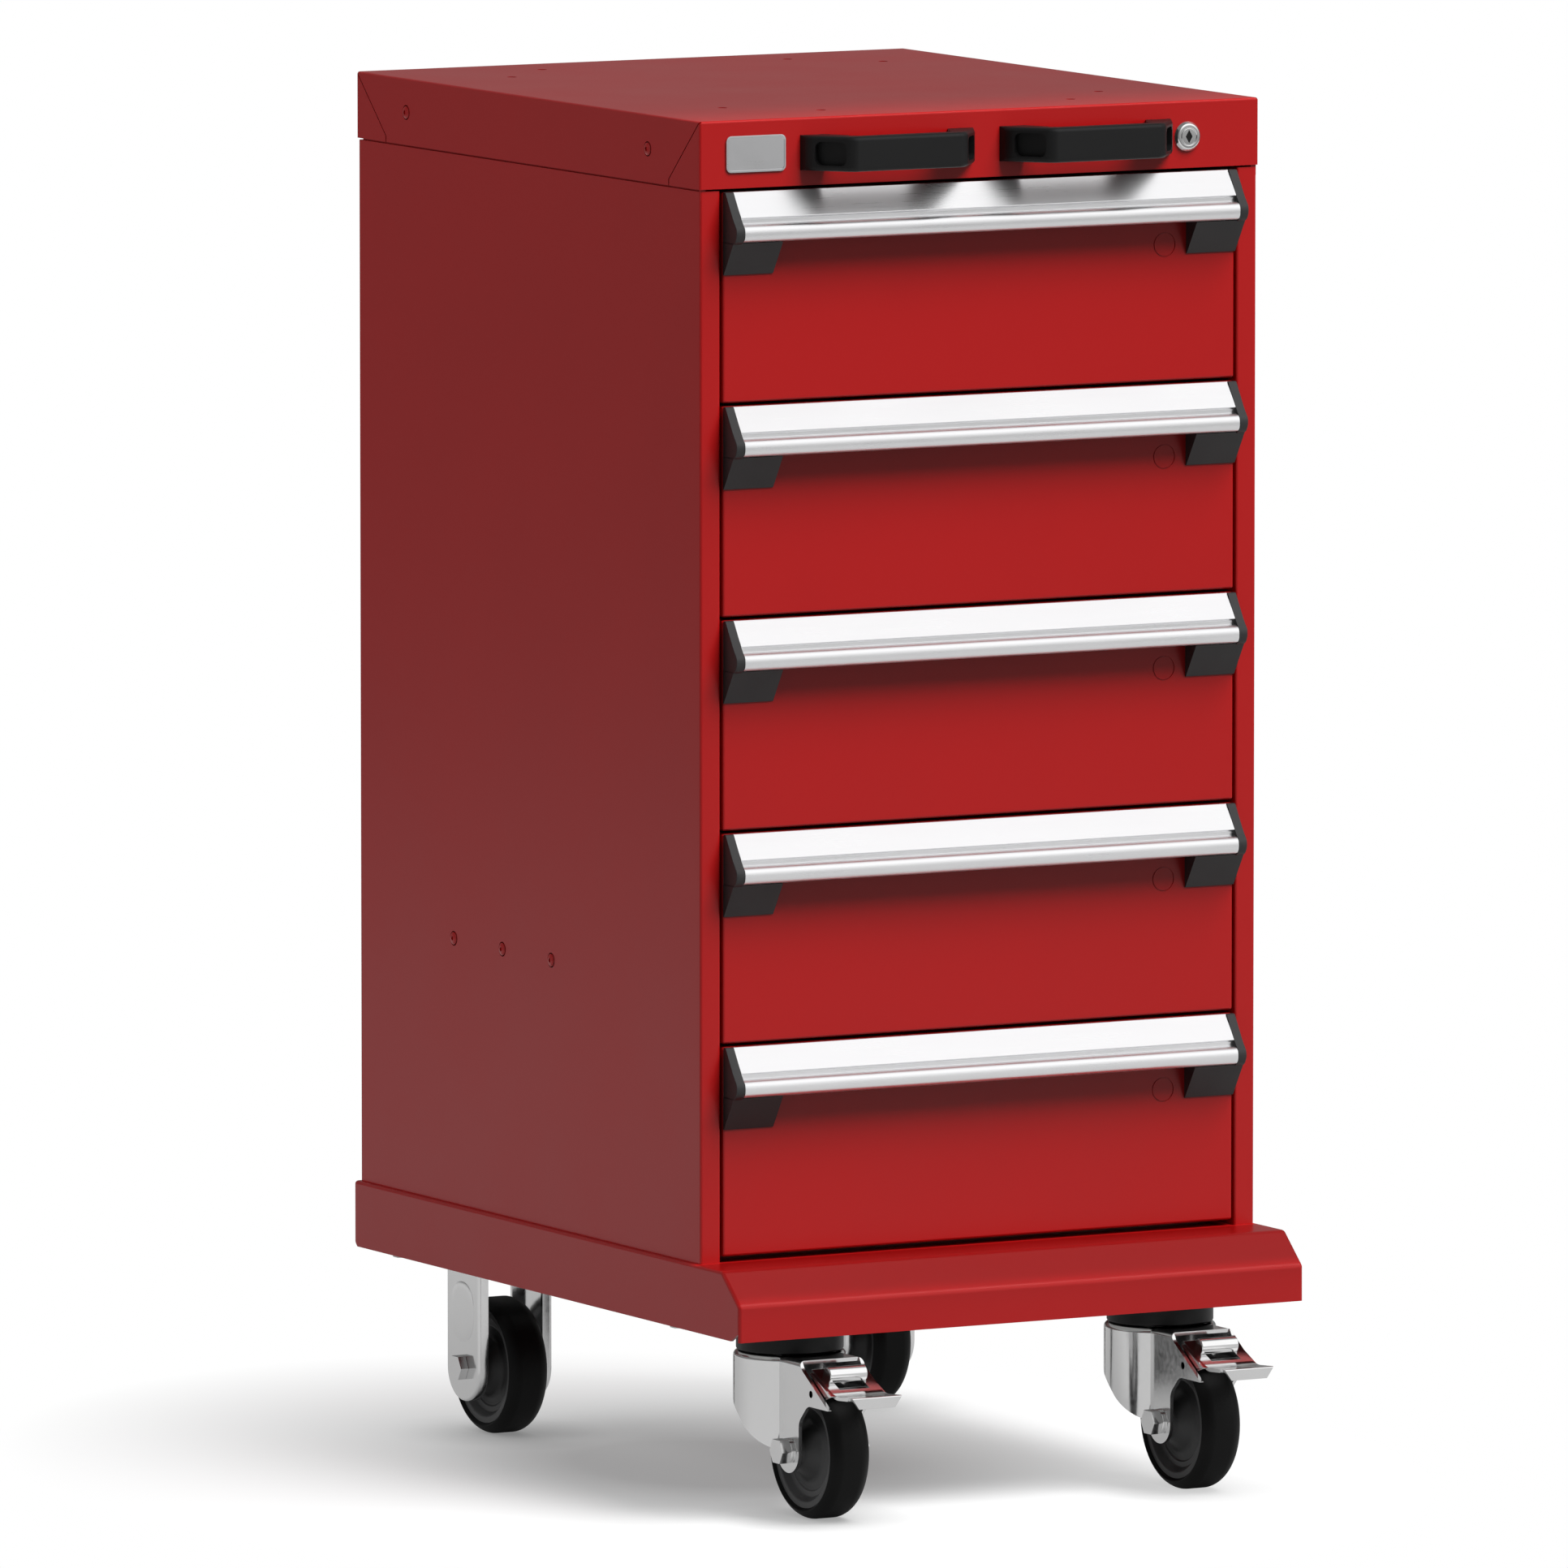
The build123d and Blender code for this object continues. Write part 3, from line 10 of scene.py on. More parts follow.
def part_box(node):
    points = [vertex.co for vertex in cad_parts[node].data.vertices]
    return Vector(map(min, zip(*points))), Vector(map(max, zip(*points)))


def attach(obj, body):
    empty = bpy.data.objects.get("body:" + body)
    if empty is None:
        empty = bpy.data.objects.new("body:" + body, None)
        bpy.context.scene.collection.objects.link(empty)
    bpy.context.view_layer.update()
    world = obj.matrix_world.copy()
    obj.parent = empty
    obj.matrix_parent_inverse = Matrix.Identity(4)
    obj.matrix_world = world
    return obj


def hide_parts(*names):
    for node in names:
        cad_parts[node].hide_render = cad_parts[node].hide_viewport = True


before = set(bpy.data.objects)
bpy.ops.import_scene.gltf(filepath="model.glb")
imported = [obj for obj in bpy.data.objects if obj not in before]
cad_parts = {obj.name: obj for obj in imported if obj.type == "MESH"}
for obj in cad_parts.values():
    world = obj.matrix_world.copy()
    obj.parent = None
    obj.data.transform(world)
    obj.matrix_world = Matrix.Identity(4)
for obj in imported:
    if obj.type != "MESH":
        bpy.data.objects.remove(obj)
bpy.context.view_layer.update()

bl_info = {
    "name": "Mobile drawer cabinet",
    "version": (1, 0, 0),
    "blender": (4, 5, 0),
    "location": "3D View > Sidebar > Cabinet",
    "description": "Dresses the packed drawer cabinet with folded sheet, castings and finishes",
    "category": "Object",
}

DRAWERS = [f"drawer_{number}" for number in range(1, 6)]
SIDES = {"left": -1, "right": 1}
SIGNS = (-1, 1)
CORNERS = ((-1, -1), (-1, 1), (1, -1), (1, 1))
AXES = {"X": Vector((1, 0, 0)), "Y": Vector((0, 1, 0)), "Z": Vector((0, 0, 1))}
WHITE = (1, 1, 1, 1)

# Caster sizes in millimetres that several pieces share
FRONT_LEG = 25.7
REAR_LEG = 30.7
HOOD = 40.6
AXLE = 5
PLATE_HALF = 50
PLATE_SHEET = 4

# Finish of each slot: gloss range, grain scale, cloud scale and tone, bump strength and height
FINISHES = {
    "red_paint": dict(
        name="Red powder coat", colour="paint", gloss=(0.28, 0.36), grain=900, clouds=(9, 0.06),
        bump=(0.10, 0.0002), specular=0.3, coat=0.2,
    ),
    "handle_aluminium": dict(
        name="Satin aluminium", colour="aluminium", gloss=(0.26, 0.32), grain=1400, clouds=(14, 0.05),
        bump=(0.05, 0.0001), metal=1.0, brushed=0.7, stretch=(0.01, 1, 1),
    ),
    "fork_chrome": dict(
        name="Bright zinc plate", colour="chrome", gloss=(0.10, 0.18), grain=260, clouds=(30, 0.08),
        bump=(0.04, 0.0003), metal=1.0,
    ),
    "zinc_steel": dict(
        name="Dull zinc plate", colour="zinc", gloss=(0.28, 0.42), grain=420, clouds=(60, 0.18),
        bump=(0.06, 0.0003), metal=1.0,
    ),
    "lock_chrome": dict(
        name="Polished lock", colour="lock", gloss=(0.08, 0.16), grain=500, clouds=(90, 0.06),
        bump=(0.03, 0.0002), metal=1.0,
    ),
    "satin_plate": dict(
        name="Satin plate", colour="plate", gloss=(0.26, 0.36), grain=1500, clouds=(30, 0.06),
        bump=(0.05, 0.0001), metal=1.0, stretch=(0.02, 1, 1),
    ),
    "black_plastic": dict(
        name="Black moulded plastic", colour="grip", gloss=(0.38, 0.50), grain=1600, clouds=(40, 0.12),
        bump=(0.16, 0.0003), specular=0.3,
    ),
    "cap_plastic": dict(
        name="Dark grey plastic", colour="cap", gloss=(0.42, 0.55), grain=1500, clouds=(40, 0.12),
        bump=(0.16, 0.0003),
    ),
    "wheel_plastic": dict(
        name="Wheel plastic", colour="wheel", gloss=(0.36, 0.50), grain=1200, clouds=(50, 0.15),
        bump=(0.12, 0.0003),
    ),
    "tyre_rubber": dict(
        name="Black rubber", colour="rubber", gloss=(0.42, 0.58), grain=1000, clouds=(45, 0.25),
        bump=(0.15, 0.0003), specular=0.15,
    ),
}


def span(node):
    """Lowest and highest corner of a CAD node in millimetres."""
    low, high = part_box(node)
    return [1000 * value for value in low], [1000 * value for value in high]


def middle(node):
    """Middle of a CAD node's box in millimetres."""
    low, high = span(node)
    return [(a + b) / 2 for a, b in zip(low, high)]


class CabinetSizes(PropertyGroup):
    """Sizes that shape the folded and moulded pieces."""

    sheet: FloatProperty(
        name="Sheet", description="Thickness of the housing sheet", default=0.0015, unit="LENGTH"
    )
    base_sheet: FloatProperty(
        name="Base sheet", description="Thickness of the base pan", default=0.002, unit="LENGTH"
    )
    bend: FloatProperty(
        name="Bend", description="Outer radius of the sheet's folds", default=0.0018, unit="LENGTH"
    )
    drawer_sheet: FloatProperty(
        name="Drawer sheet", description="Thickness of the drawer walls", default=0.0012, unit="LENGTH"
    )
    fork_sheet: FloatProperty(
        name="Fork sheet", description="Thickness of the caster forks", default=0.0027, unit="LENGTH"
    )
    grip_round: FloatProperty(
        name="Grip round", description="Edge radius of the push handles", default=0.003, unit="LENGTH"
    )


class CabinetFinishes(PropertyGroup):
    """Colours of the finishes."""

    paint: FloatVectorProperty(
        name="Paint", description="Powder coat", default=(0.42, 0.0065, 0.0068), subtype="COLOR"
    )
    aluminium: FloatVectorProperty(
        name="Aluminium", description="Handle strips", default=(0.87, 0.87, 0.88), subtype="COLOR"
    )
    chrome: FloatVectorProperty(
        name="Bright zinc", description="Forks and pedals", default=(0.80, 0.80, 0.80), subtype="COLOR"
    )
    zinc: FloatVectorProperty(
        name="Zinc", description="Rails and bolts", default=(0.56, 0.56, 0.55), subtype="COLOR"
    )
    lock: FloatVectorProperty(
        name="Lock", description="Lock bezel and plug", default=(0.84, 0.84, 0.84), subtype="COLOR"
    )
    plate: FloatVectorProperty(
        name="Plate", description="Blank plate", default=(0.74, 0.74, 0.75), subtype="COLOR"
    )
    grip: FloatVectorProperty(
        name="Grip plastic", description="Push handles", default=(0.006, 0.006, 0.0062), subtype="COLOR"
    )
    cap: FloatVectorProperty(
        name="Cap plastic", description="End caps", default=(0.020, 0.020, 0.0205), subtype="COLOR"
    )
    wheel: FloatVectorProperty(
        name="Wheel plastic", description="Wheel centres", default=(0.055, 0.055, 0.056), subtype="COLOR"
    )
    rubber: FloatVectorProperty(
        name="Rubber", description="Tyres", default=(0.005, 0.005, 0.005), subtype="COLOR"
    )


class CabinetStage(PropertyGroup):
    """Light and floor of the studio."""

    key_power: FloatProperty(
        name="Key light", description="Power of the large soft light", default=2100.0, unit="POWER"
    )
    side_power: FloatProperty(
        name="Side light", description="Power of the low light on the left", default=35.0, unit="POWER"
    )
    rear_power: FloatProperty(
        name="Rear light", description="Power of the low light behind", default=40.0, unit="POWER"
    )
    ambient: FloatProperty(
        name="Ambient", description="Strength of the even light from all round", default=0.13,
        subtype="FACTOR",
    )
    floor_fill: FloatProperty(
        name="Floor fill", description="Glow that keeps the floor white to the camera", default=0.23,
        subtype="FACTOR",
    )


def size_of(name):
    """Size from the property group in millimetres."""
    return 1000 * getattr(bpy.context.scene.cabinet_sizes, name)


def block(low, high):
    """Box between two opposite corners."""
    size = [b - a for a, b in zip(low, high)]
    centre = [(a + b) / 2 for a, b in zip(low, high)]
    shape = bmesh.new()
    bmesh.ops.create_cube(shape, size=1, matrix=Matrix.Translation(centre) @ Matrix.Diagonal((*size, 1)))
    return shape


def rounded(shape, geom, radius, segments, affect="EDGES", clamp=False):
    """Round off edges or corners."""
    bmesh.ops.bevel(
        shape, geom=geom, offset=radius, offset_type="OFFSET", segments=segments, profile=0.5,
        affect=affect, clamp_overlap=clamp, material=-1,
    )


def rectangle(low_a, high_a, low_b, high_b, radius):
    """Points of a rectangle with round corners."""
    corners = ((low_a, low_b), (high_a, low_b), (high_a, high_b), (low_a, high_b))
    return [(*corner, radius) for corner in corners]


def placed(points, across, up, flip=(1, 1)):
    """Points moved to a place in their plane, each way as it is or flipped."""
    return [(across + flip[0] * point[0], up + flip[1] * point[1], *point[2:]) for point in points]


def outline(points, place, segments):
    """Flat face through points, each given as two places and an optional corner radius."""
    shape = bmesh.new()
    corners = [shape.verts.new(place(point[0], point[1])) for point in points]
    shape.faces.new(corners)
    rounds = {}
    for corner, point in zip(corners, points):
        if len(point) > 2:
            rounds.setdefault(point[2], []).append(corner)
    for radius, chosen in rounds.items():
        rounded(shape, chosen, radius, segments, "VERTICES")
    return shape


def prism(points, axis, start, end, segments=6):
    """Outline across an axis, extruded along it."""
    places = {
        "X": lambda a, b: (start, a, b),
        "Y": lambda a, b: (a, start, b),
        "Z": lambda a, b: (a, b, start),
    }
    shape = outline(points, places[axis], segments)
    grown = bmesh.ops.extrude_face_region(shape, geom=shape.faces[:])
    moved = [item for item in grown["geom"] if isinstance(item, bmesh.types.BMVert)]
    bmesh.ops.translate(shape, verts=moved, vec=AXES[axis] * (end - start))
    bmesh.ops.recalc_face_normals(shape, faces=shape.faces)
    return shape


def lathe(points, centre, axis, steps=72, segments=4):
    """Outline of places along an axis and radii, spun once round it."""
    x, y, z = centre
    places = {
        "X": lambda along, radius: (x + along, y, z + radius),
        "Y": lambda along, radius: (x, y + along, z + radius),
        "Z": lambda along, radius: (x + radius, y, z + along),
    }
    shape = outline(points, places[axis], segments)
    bmesh.ops.delete(shape, geom=shape.faces[:], context="FACES_ONLY")
    line = Vector(centre)
    on_axis = [
        edge
        for edge in shape.edges
        if all((vert.co - line).cross(AXES[axis]).length < 1e-4 for vert in edge.verts)
    ]
    bmesh.ops.delete(shape, geom=on_axis, context="EDGES")
    bmesh.ops.spin(
        shape, geom=shape.verts[:] + shape.edges[:], cent=centre, axis=AXES[axis],
        angle=2 * pi, steps=steps, use_merge=True,
    )
    bmesh.ops.remove_doubles(shape, verts=shape.verts, dist=1e-4)
    bmesh.ops.recalc_face_normals(shape, faces=shape.faces)
    return shape


def drum(centre, axis, radius, start, end, steps):
    """Plain round bar along an axis."""
    return lathe([(start, 0), (start, radius), (end, radius), (end, 0)], centre, axis, steps)


def six_sided(radius, depth, matrix):
    """Plain six-sided bar."""
    shape = bmesh.new()
    bmesh.ops.create_cone(
        shape, cap_ends=True, segments=6, radius1=radius, radius2=radius, depth=depth, matrix=matrix
    )
    return shape


def hexagon(centre, axis, radius, start, end):
    """Six-sided bar along an axis with its edges eased."""
    turn = {"X": Matrix.Rotation(pi / 2, 4, "Y"), "Z": Matrix.Identity(4)}[axis]
    place = Vector(centre) + AXES[axis] * (start + end) / 2
    ease = 0.35
    return soften(six_sided(radius, abs(end - start), Matrix.Translation(place) @ turn), ease)


def sharp_edges(shape, angle):
    """Edges between two faces that meet at more than an angle."""
    return [edge for edge in shape.edges if edge.calc_face_angle(0) > radians(angle)]


def soften(shape, radius, segments=2, angle=25):
    """Round every edge that is sharper than an angle."""
    rounded(shape, sharp_edges(shape, angle), radius, segments, clamp=True)
    return shape


def facing(shape, way):
    """Faces of a shape that look one way."""
    return [face for face in shape.faces if face.normal.dot(Vector(way)) > 0.9]


def fold(shape, opening, bend, sheet):
    """Open a solid on one side and turn the rest into sheet with round bends."""
    bmesh.ops.delete(shape, geom=facing(shape, opening), context="FACES_ONLY")
    rounded(shape, [edge for edge in shape.edges if len(edge.link_faces) == 2], bend, 4)
    bmesh.ops.recalc_face_normals(shape, faces=shape.faces)
    bmesh.ops.solidify(shape, geom=shape.faces[:], thickness=sheet)
    return shape


def together(*shapes):
    """All the shapes in one mesh."""
    whole = bmesh.new()
    for shape in shapes:
        part = bpy.data.meshes.new("part")
        shape.to_mesh(part)
        whole.from_mesh(part)
        bpy.data.meshes.remove(part)
        shape.free()
    return whole


def scene_object(name, shape):
    """Object in the scene with a shape's mesh."""
    mesh = bpy.data.meshes.new(name)
    shape.to_mesh(mesh)
    shape.free()
    made = bpy.data.objects.new(name, mesh)
    bpy.context.scene.collection.objects.link(made)
    return made


def carve(shape, cutter, how="DIFFERENCE"):
    """Cut a shape with another, or join or cross them."""
    parts = [scene_object("work", item) for item in (shape, cutter)]
    cut = parts[0].modifiers.new("Cut", "BOOLEAN")
    cut.object = parts[1]
    cut.operation = how
    cut.solver = "EXACT"
    ready = parts[0].evaluated_get(bpy.context.evaluated_depsgraph_get())
    result = bpy.data.meshes.new_from_object(ready)
    carved = bmesh.new()
    carved.from_mesh(result)
    bpy.data.meshes.remove(result)
    for part in parts:
        bpy.data.meshes.remove(part.data)
    if not carved.faces:
        raise RuntimeError("A cut left nothing")
    return carved


def piece(name, shape, body, nodes, slot, angle=32):
    """Turn a shape into a piece that rides on a body and stands for its CAD nodes."""
    bmesh.ops.scale(shape, vec=(0.001, 0.001, 0.001), verts=shape.verts)
    bmesh.ops.remove_doubles(shape, verts=shape.verts, dist=1e-7)
    made = scene_object(name, shape)
    mesh = made.data
    mesh.polygons.foreach_set("use_smooth", [True] * len(mesh.polygons))
    mesh.set_sharp_from_angle(angle=radians(angle))
    mesh.materials.append(finish(slot))
    shading = made.modifiers.new("Even shading", "WEIGHTED_NORMAL")
    shading.keep_sharp = True
    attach(made, body)
    if nodes:
        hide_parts(*nodes)
    return made


def feed(tree, node, sources):
    """Link a node's inputs to sockets, or set them to values."""
    for place, source in sources.items():
        if isinstance(source, bpy.types.NodeSocket):
            tree.links.new(source, node.inputs[place])
        else:
            node.inputs[place].default_value = source


def add_node(tree, kind, sources, **settings):
    """New node with its settings and inputs."""
    node = tree.nodes.new(f"ShaderNode{kind}")
    for name, value in settings.items():
        setattr(node, name, value)
    feed(tree, node, sources)
    return node


def maths(tree, operation, *sources):
    """Result of a sum on sockets and values."""
    return add_node(tree, "Math", dict(enumerate(sources)), operation=operation).outputs[0]


def surface_detail():
    """Node group for fine grain, soft clouds of tone and uneven gloss on any finish."""
    group = bpy.data.node_groups.get("Surface detail")
    if group:
        return group
    group = bpy.data.node_groups.new("Surface detail", "ShaderNodeTree")
    sockets = {
        "INPUT": {
            "Colour": "Color", "Tone change": "Float", "Cloud scale": "Float", "Grain scale": "Float",
            "Grain stretch": "Vector", "Gloss low": "Float", "Gloss high": "Float",
        },
        "OUTPUT": {"Colour": "Color", "Roughness": "Float", "Height": "Float"},
    }
    for way, kinds in sockets.items():
        for name, kind in kinds.items():
            group.interface.new_socket(name, in_out=way, socket_type=f"NodeSocket{kind}")
    given = group.nodes.new("NodeGroupInput").outputs
    place = add_node(group, "TexCoord", {}).outputs["Object"]
    stretch = add_node(
        group, "VectorMath", {0: place, 1: given["Grain stretch"]}, operation="MULTIPLY"
    ).outputs[0]
    grain = add_node(
        group, "TexNoise", {"Vector": stretch, "Scale": given["Grain scale"], "Detail": 2.0}
    ).outputs["Fac"]
    cloud = add_node(
        group, "TexNoise", {"Vector": place, "Scale": given["Cloud scale"], "Detail": 4.0}
    ).outputs["Fac"]
    centred = maths(group, "SUBTRACT", cloud, 0.5)
    change = maths(group, "MULTIPLY_ADD", centred, given["Tone change"], 1.0)
    tone = add_node(group, "VectorMath", {0: given["Colour"], "Scale": change}, operation="SCALE")
    both = maths(group, "MULTIPLY_ADD", cloud, 0.5, maths(group, "MULTIPLY", grain, 0.5))
    gloss = add_node(group, "MapRange", {
        "Value": both, "From Min": 0.3, "From Max": 0.7,
        "To Min": given["Gloss low"], "To Max": given["Gloss high"],
    })
    feed(group, group.nodes.new("NodeGroupOutput"), {
        "Colour": tone.outputs["Vector"], "Roughness": gloss.outputs["Result"], "Height": grain,
    })
    return group


def finish(slot):
    """Material of a slot's finish."""
    look = FINISHES[slot]
    known = bpy.data.materials.get(look["name"])
    if known:
        return known
    material = bpy.data.materials.new(look["name"])
    material.use_nodes = True
    tree = material.node_tree
    colour = getattr(bpy.context.scene.cabinet_finishes, look["colour"])
    gloss_low, gloss_high = look["gloss"]
    detail = add_node(tree, "Group", {}, node_tree=surface_detail())
    feed(tree, detail, {
        "Colour": (*colour, 1), "Tone change": look["clouds"][1], "Cloud scale": look["clouds"][0],
        "Grain scale": look["grain"], "Grain stretch": look.get("stretch", (1, 1, 1)),
        "Gloss low": gloss_low, "Gloss high": gloss_high,
    })
    strength, height = look["bump"]
    relief = add_node(tree, "Bump", {
        "Strength": strength, "Distance": height, "Height": detail.outputs["Height"],
    })
    shader = tree.nodes["Principled BSDF"]
    feed(tree, shader, {
        "Metallic": look.get("metal", 0.0), "Specular IOR Level": look.get("specular", 0.5),
        "Coat Weight": look.get("coat", 0.0), "Coat Roughness": gloss_low,
        "Base Color": detail.outputs["Colour"], "Roughness": detail.outputs["Roughness"],
        "Normal": relief.outputs["Normal"],
    })
    if "brushed" in look:
        across = add_node(tree, "Tangent", {}, direction_type="RADIAL", axis="X")
        feed(tree, shader, {"Anisotropic": look["brushed"], "Tangent": across.outputs["Tangent"]})
    return material


class CABINET_OT_cover(Operator):
    """Fold the top cover, cut its corner seams and the holes for the plugs and the lock"""

    bl_idname = "cabinet.cover"
    bl_label = "Top cover"

    def execute(self, context):
        seam_run = 46
        seam_foot = 4.5
        seam_half = 0.6
        seam_depth = 1.8
        lock_hole = 9.1
        plug_hole = 3.6
        low, high = span("top_cover")
        shell = fold(block(low, high), (0, 0, -1), size_of("bend"), size_of("sheet"))
        foot_z = low[2] + seam_foot
        cutters = []
        for side in SIGNS:
            skin = side * high[0]
            for corner, inwards in ((low[1], 1), (high[1], -1)):
                foot = corner + inwards * seam_run
                band = [
                    (corner - seam_half, high[2]), (corner + seam_half, high[2]),
                    (foot + seam_half, foot_z), (foot + seam_half, low[2] - 1),
                    (foot - seam_half, low[2] - 1), (foot - seam_half, foot_z),
                ]
                cutters.append(prism(band, "X", skin - side * seam_depth, skin + side))
            cutters += [ring_groove(spot, side) for spot in screw_places()[0]]
        lock = middle("lock_housing")
        cutters.append(drum((lock[0], low[1], lock[2]), "Y", lock_hole, -5, 5, 32))
        for x, y in plug_places(low, high):
            cutters.append(drum((x, y, high[2]), "Z", plug_hole, -4, 2, 24))
        piece("cover.shell", carve(shell, together(*cutters)), "cabinet", ["top_cover"], "red_paint")
        return {"FINISHED"}


def screw_places():
    """Middles of the right-hand screws: two in the cover's flank and three in the panel."""
    flank_reach = 184.5
    flank_drop = 24.7
    row_rise = 194
    row_start = -35.5
    row_step = 75
    low, high = span("top_cover")
    mid_y = (low[1] + high[1]) / 2
    panel_x = span("right_side_panel")[1][0]
    row_z = span("base_pan")[1][2] + row_rise
    cover_spots = [(high[0], mid_y + turn * flank_reach, high[2] - flank_drop) for turn in SIGNS]
    panel_spots = [(panel_x, mid_y + row_start + row_step * count, row_z) for count in range(3)]
    return cover_spots, panel_spots


def ring_groove(spot, side):
    """Cutter for the narrow gap round a screw head."""
    ring = [(-1.8, 4.6), (-1.8, 5.4), (1, 5.4), (1, 4.6)]
    return lathe(placed(ring, 0, 0, (side, 1)), (side * spot[0], *spot[1:]), "X", 32)


def plug_places(low, high):
    """Middles of the eight plugs in the cover's top."""
    mid_y = (low[1] + high[1]) / 2
    half_y = (high[1] - low[1]) / 2
    return [
        (turn_x * (high[0] - inset_x), mid_y + turn_y * (half_y - inset_y))
        for inset_x, inset_y in ((74, 102), (126, 51))
        for turn_x, turn_y in CORNERS
    ]


class CABINET_OT_side_panels(Operator):
    """Fold the side panels with their front posts, rear flanges and tongues"""

    bl_idname = "cabinet.side_panels"
    bl_label = "Side panels"

    def execute(self, context):
        sheet = size_of("sheet")
        bend = size_of("bend")
        post = 16.2
        post_return = 25
        tongue_root = 6
        play = 0.1
        setback = 0.4
        top = span("back_panel")[1][2]
        for name, side in SIDES.items():
            low, high = span(f"{name}_side_panel")
            outer = max(abs(low[0]), abs(high[0]))
            flange = min(abs(low[0]), abs(high[0]))
            front, rear = low[1], high[1]
            inner = outer - post
            section = [
                (inner, front + post_return), (inner, front, bend), (outer, front, bend),
                (outer, rear, bend), (flange, rear), (flange, rear - sheet),
                (outer - sheet, rear - sheet), (outer - sheet, front + sheet),
                (inner + sheet, front + sheet), (inner + sheet, front + post_return),
            ]
            skin = prism(placed(section, 0, 0, (side, 1)), "Z", low[2], top, 4)
            skin = carve(skin, together(*[ring_groove(spot, side) for spot in screw_places()[1]]))
            step = outer - 3 * sheet
            root = top - tongue_root
            tongue = [
                (step, root), (outer - sheet, root), (outer - sheet, top - sheet),
                (step + sheet, top - sheet), (step + sheet, high[2]), (step, high[2]),
            ]
            tongue_front = front + sheet + play
            tongue = prism(placed(tongue, 0, 0, (side, 1)), "Y", tongue_front, rear - sheet - play)
            ends = sorted((side * step, side * (outer - setback)))
            corner = block((ends[0], front + setback, root), (ends[1], tongue_front, high[2]))
            skin = together(skin, tongue, corner)
            piece(f"{name}_side.skin", skin, "cabinet", [f"{name}_side_panel"], "red_paint")
        return {"FINISHED"}


class CABINET_OT_base(Operator):
    """Fold the base pan with its sloped front ledge, side lips and corner cuts"""

    bl_idname = "cabinet.base"
    bl_label = "Base pan"

    def execute(self, context):
        sheet = size_of("base_sheet")
        bend_play = 0.6
        slope_depth = 25.9
        slope_drop = 22.5
        lip = 26
        lip_start = 85.9
        cut = 6
        notch_run = 10.5
        low, high = span("base_pan")
        profile = [
            (high[1], low[2]), (high[1], high[2]), (low[1] + slope_depth, high[2]),
            (low[1], high[2] - slope_drop), (low[1], low[2]),
        ]
        pan = fold(prism(profile, "X", low[0], high[0]), (0, 0, -1), sheet + bend_play, sheet)
        notch = low[1] + sheet
        under = low[2] - 1
        cuts = (
            [(notch, under), (notch, low[2] + cut), (notch + notch_run, low[2]), (notch + notch_run, under)],
            [(high[1] + 1, low[2] + cut), (high[1] - cut, under), (high[1] + 1, under)],
        )
        pan = carve(pan, together(*[prism(points, "X", low[0] - 1, high[0] + 1) for points in cuts]))
        lips = []
        for side in SIGNS:
            ends = sorted((side * (high[0] - lip), side * (high[0] - sheet)))
            lip_low = (ends[0], low[1] + lip_start, low[2])
            lips.append(block(lip_low, (ends[1], high[1] - cut, low[2] + sheet)))
        piece("base.pan", together(pan, *lips), "cabinet", ["base_pan"], "red_paint")
        return {"FINISHED"}


class CABINET_OT_drawers(Operator):
    """Fold the five drawers: front pan with its knock-out ring, and box"""

    bl_idname = "cabinet.drawers"
    bl_label = "Drawers"

    def execute(self, context):
        sheet = size_of("sheet")
        bend = size_of("bend")
        pan_depth = 14
        floor_rise = 5
        wall_height = 123
        box_half = 194.0
        ring = [(-1, 8.2), (-1, 9), (0.6, 9), (0.6, 8.2)]
        ring_inset = 57.8
        ring_drop = 52
        for body in DRAWERS:
            low, high = span(f"{body}_box")
            pan = block(low, (high[0], low[1] + pan_depth, high[2]))
            front = fold(pan, (0, 1, 0), bend, sheet)
            ring_place = (high[0] - ring_inset, low[1], high[2] - ring_drop)
            front = carve(front, lathe(ring, ring_place, "Y", 40))
            floor = low[2] + floor_rise
            tray = block((-box_half, low[1] + sheet, floor), (box_half, high[1], floor + wall_height))
            tray = fold(tray, (0, 0, 1), bend, size_of("drawer_sheet"))
            piece(f"{body}.shell", together(front, tray), body, [f"{body}_box"], "red_paint")
        return {"FINISHED"}


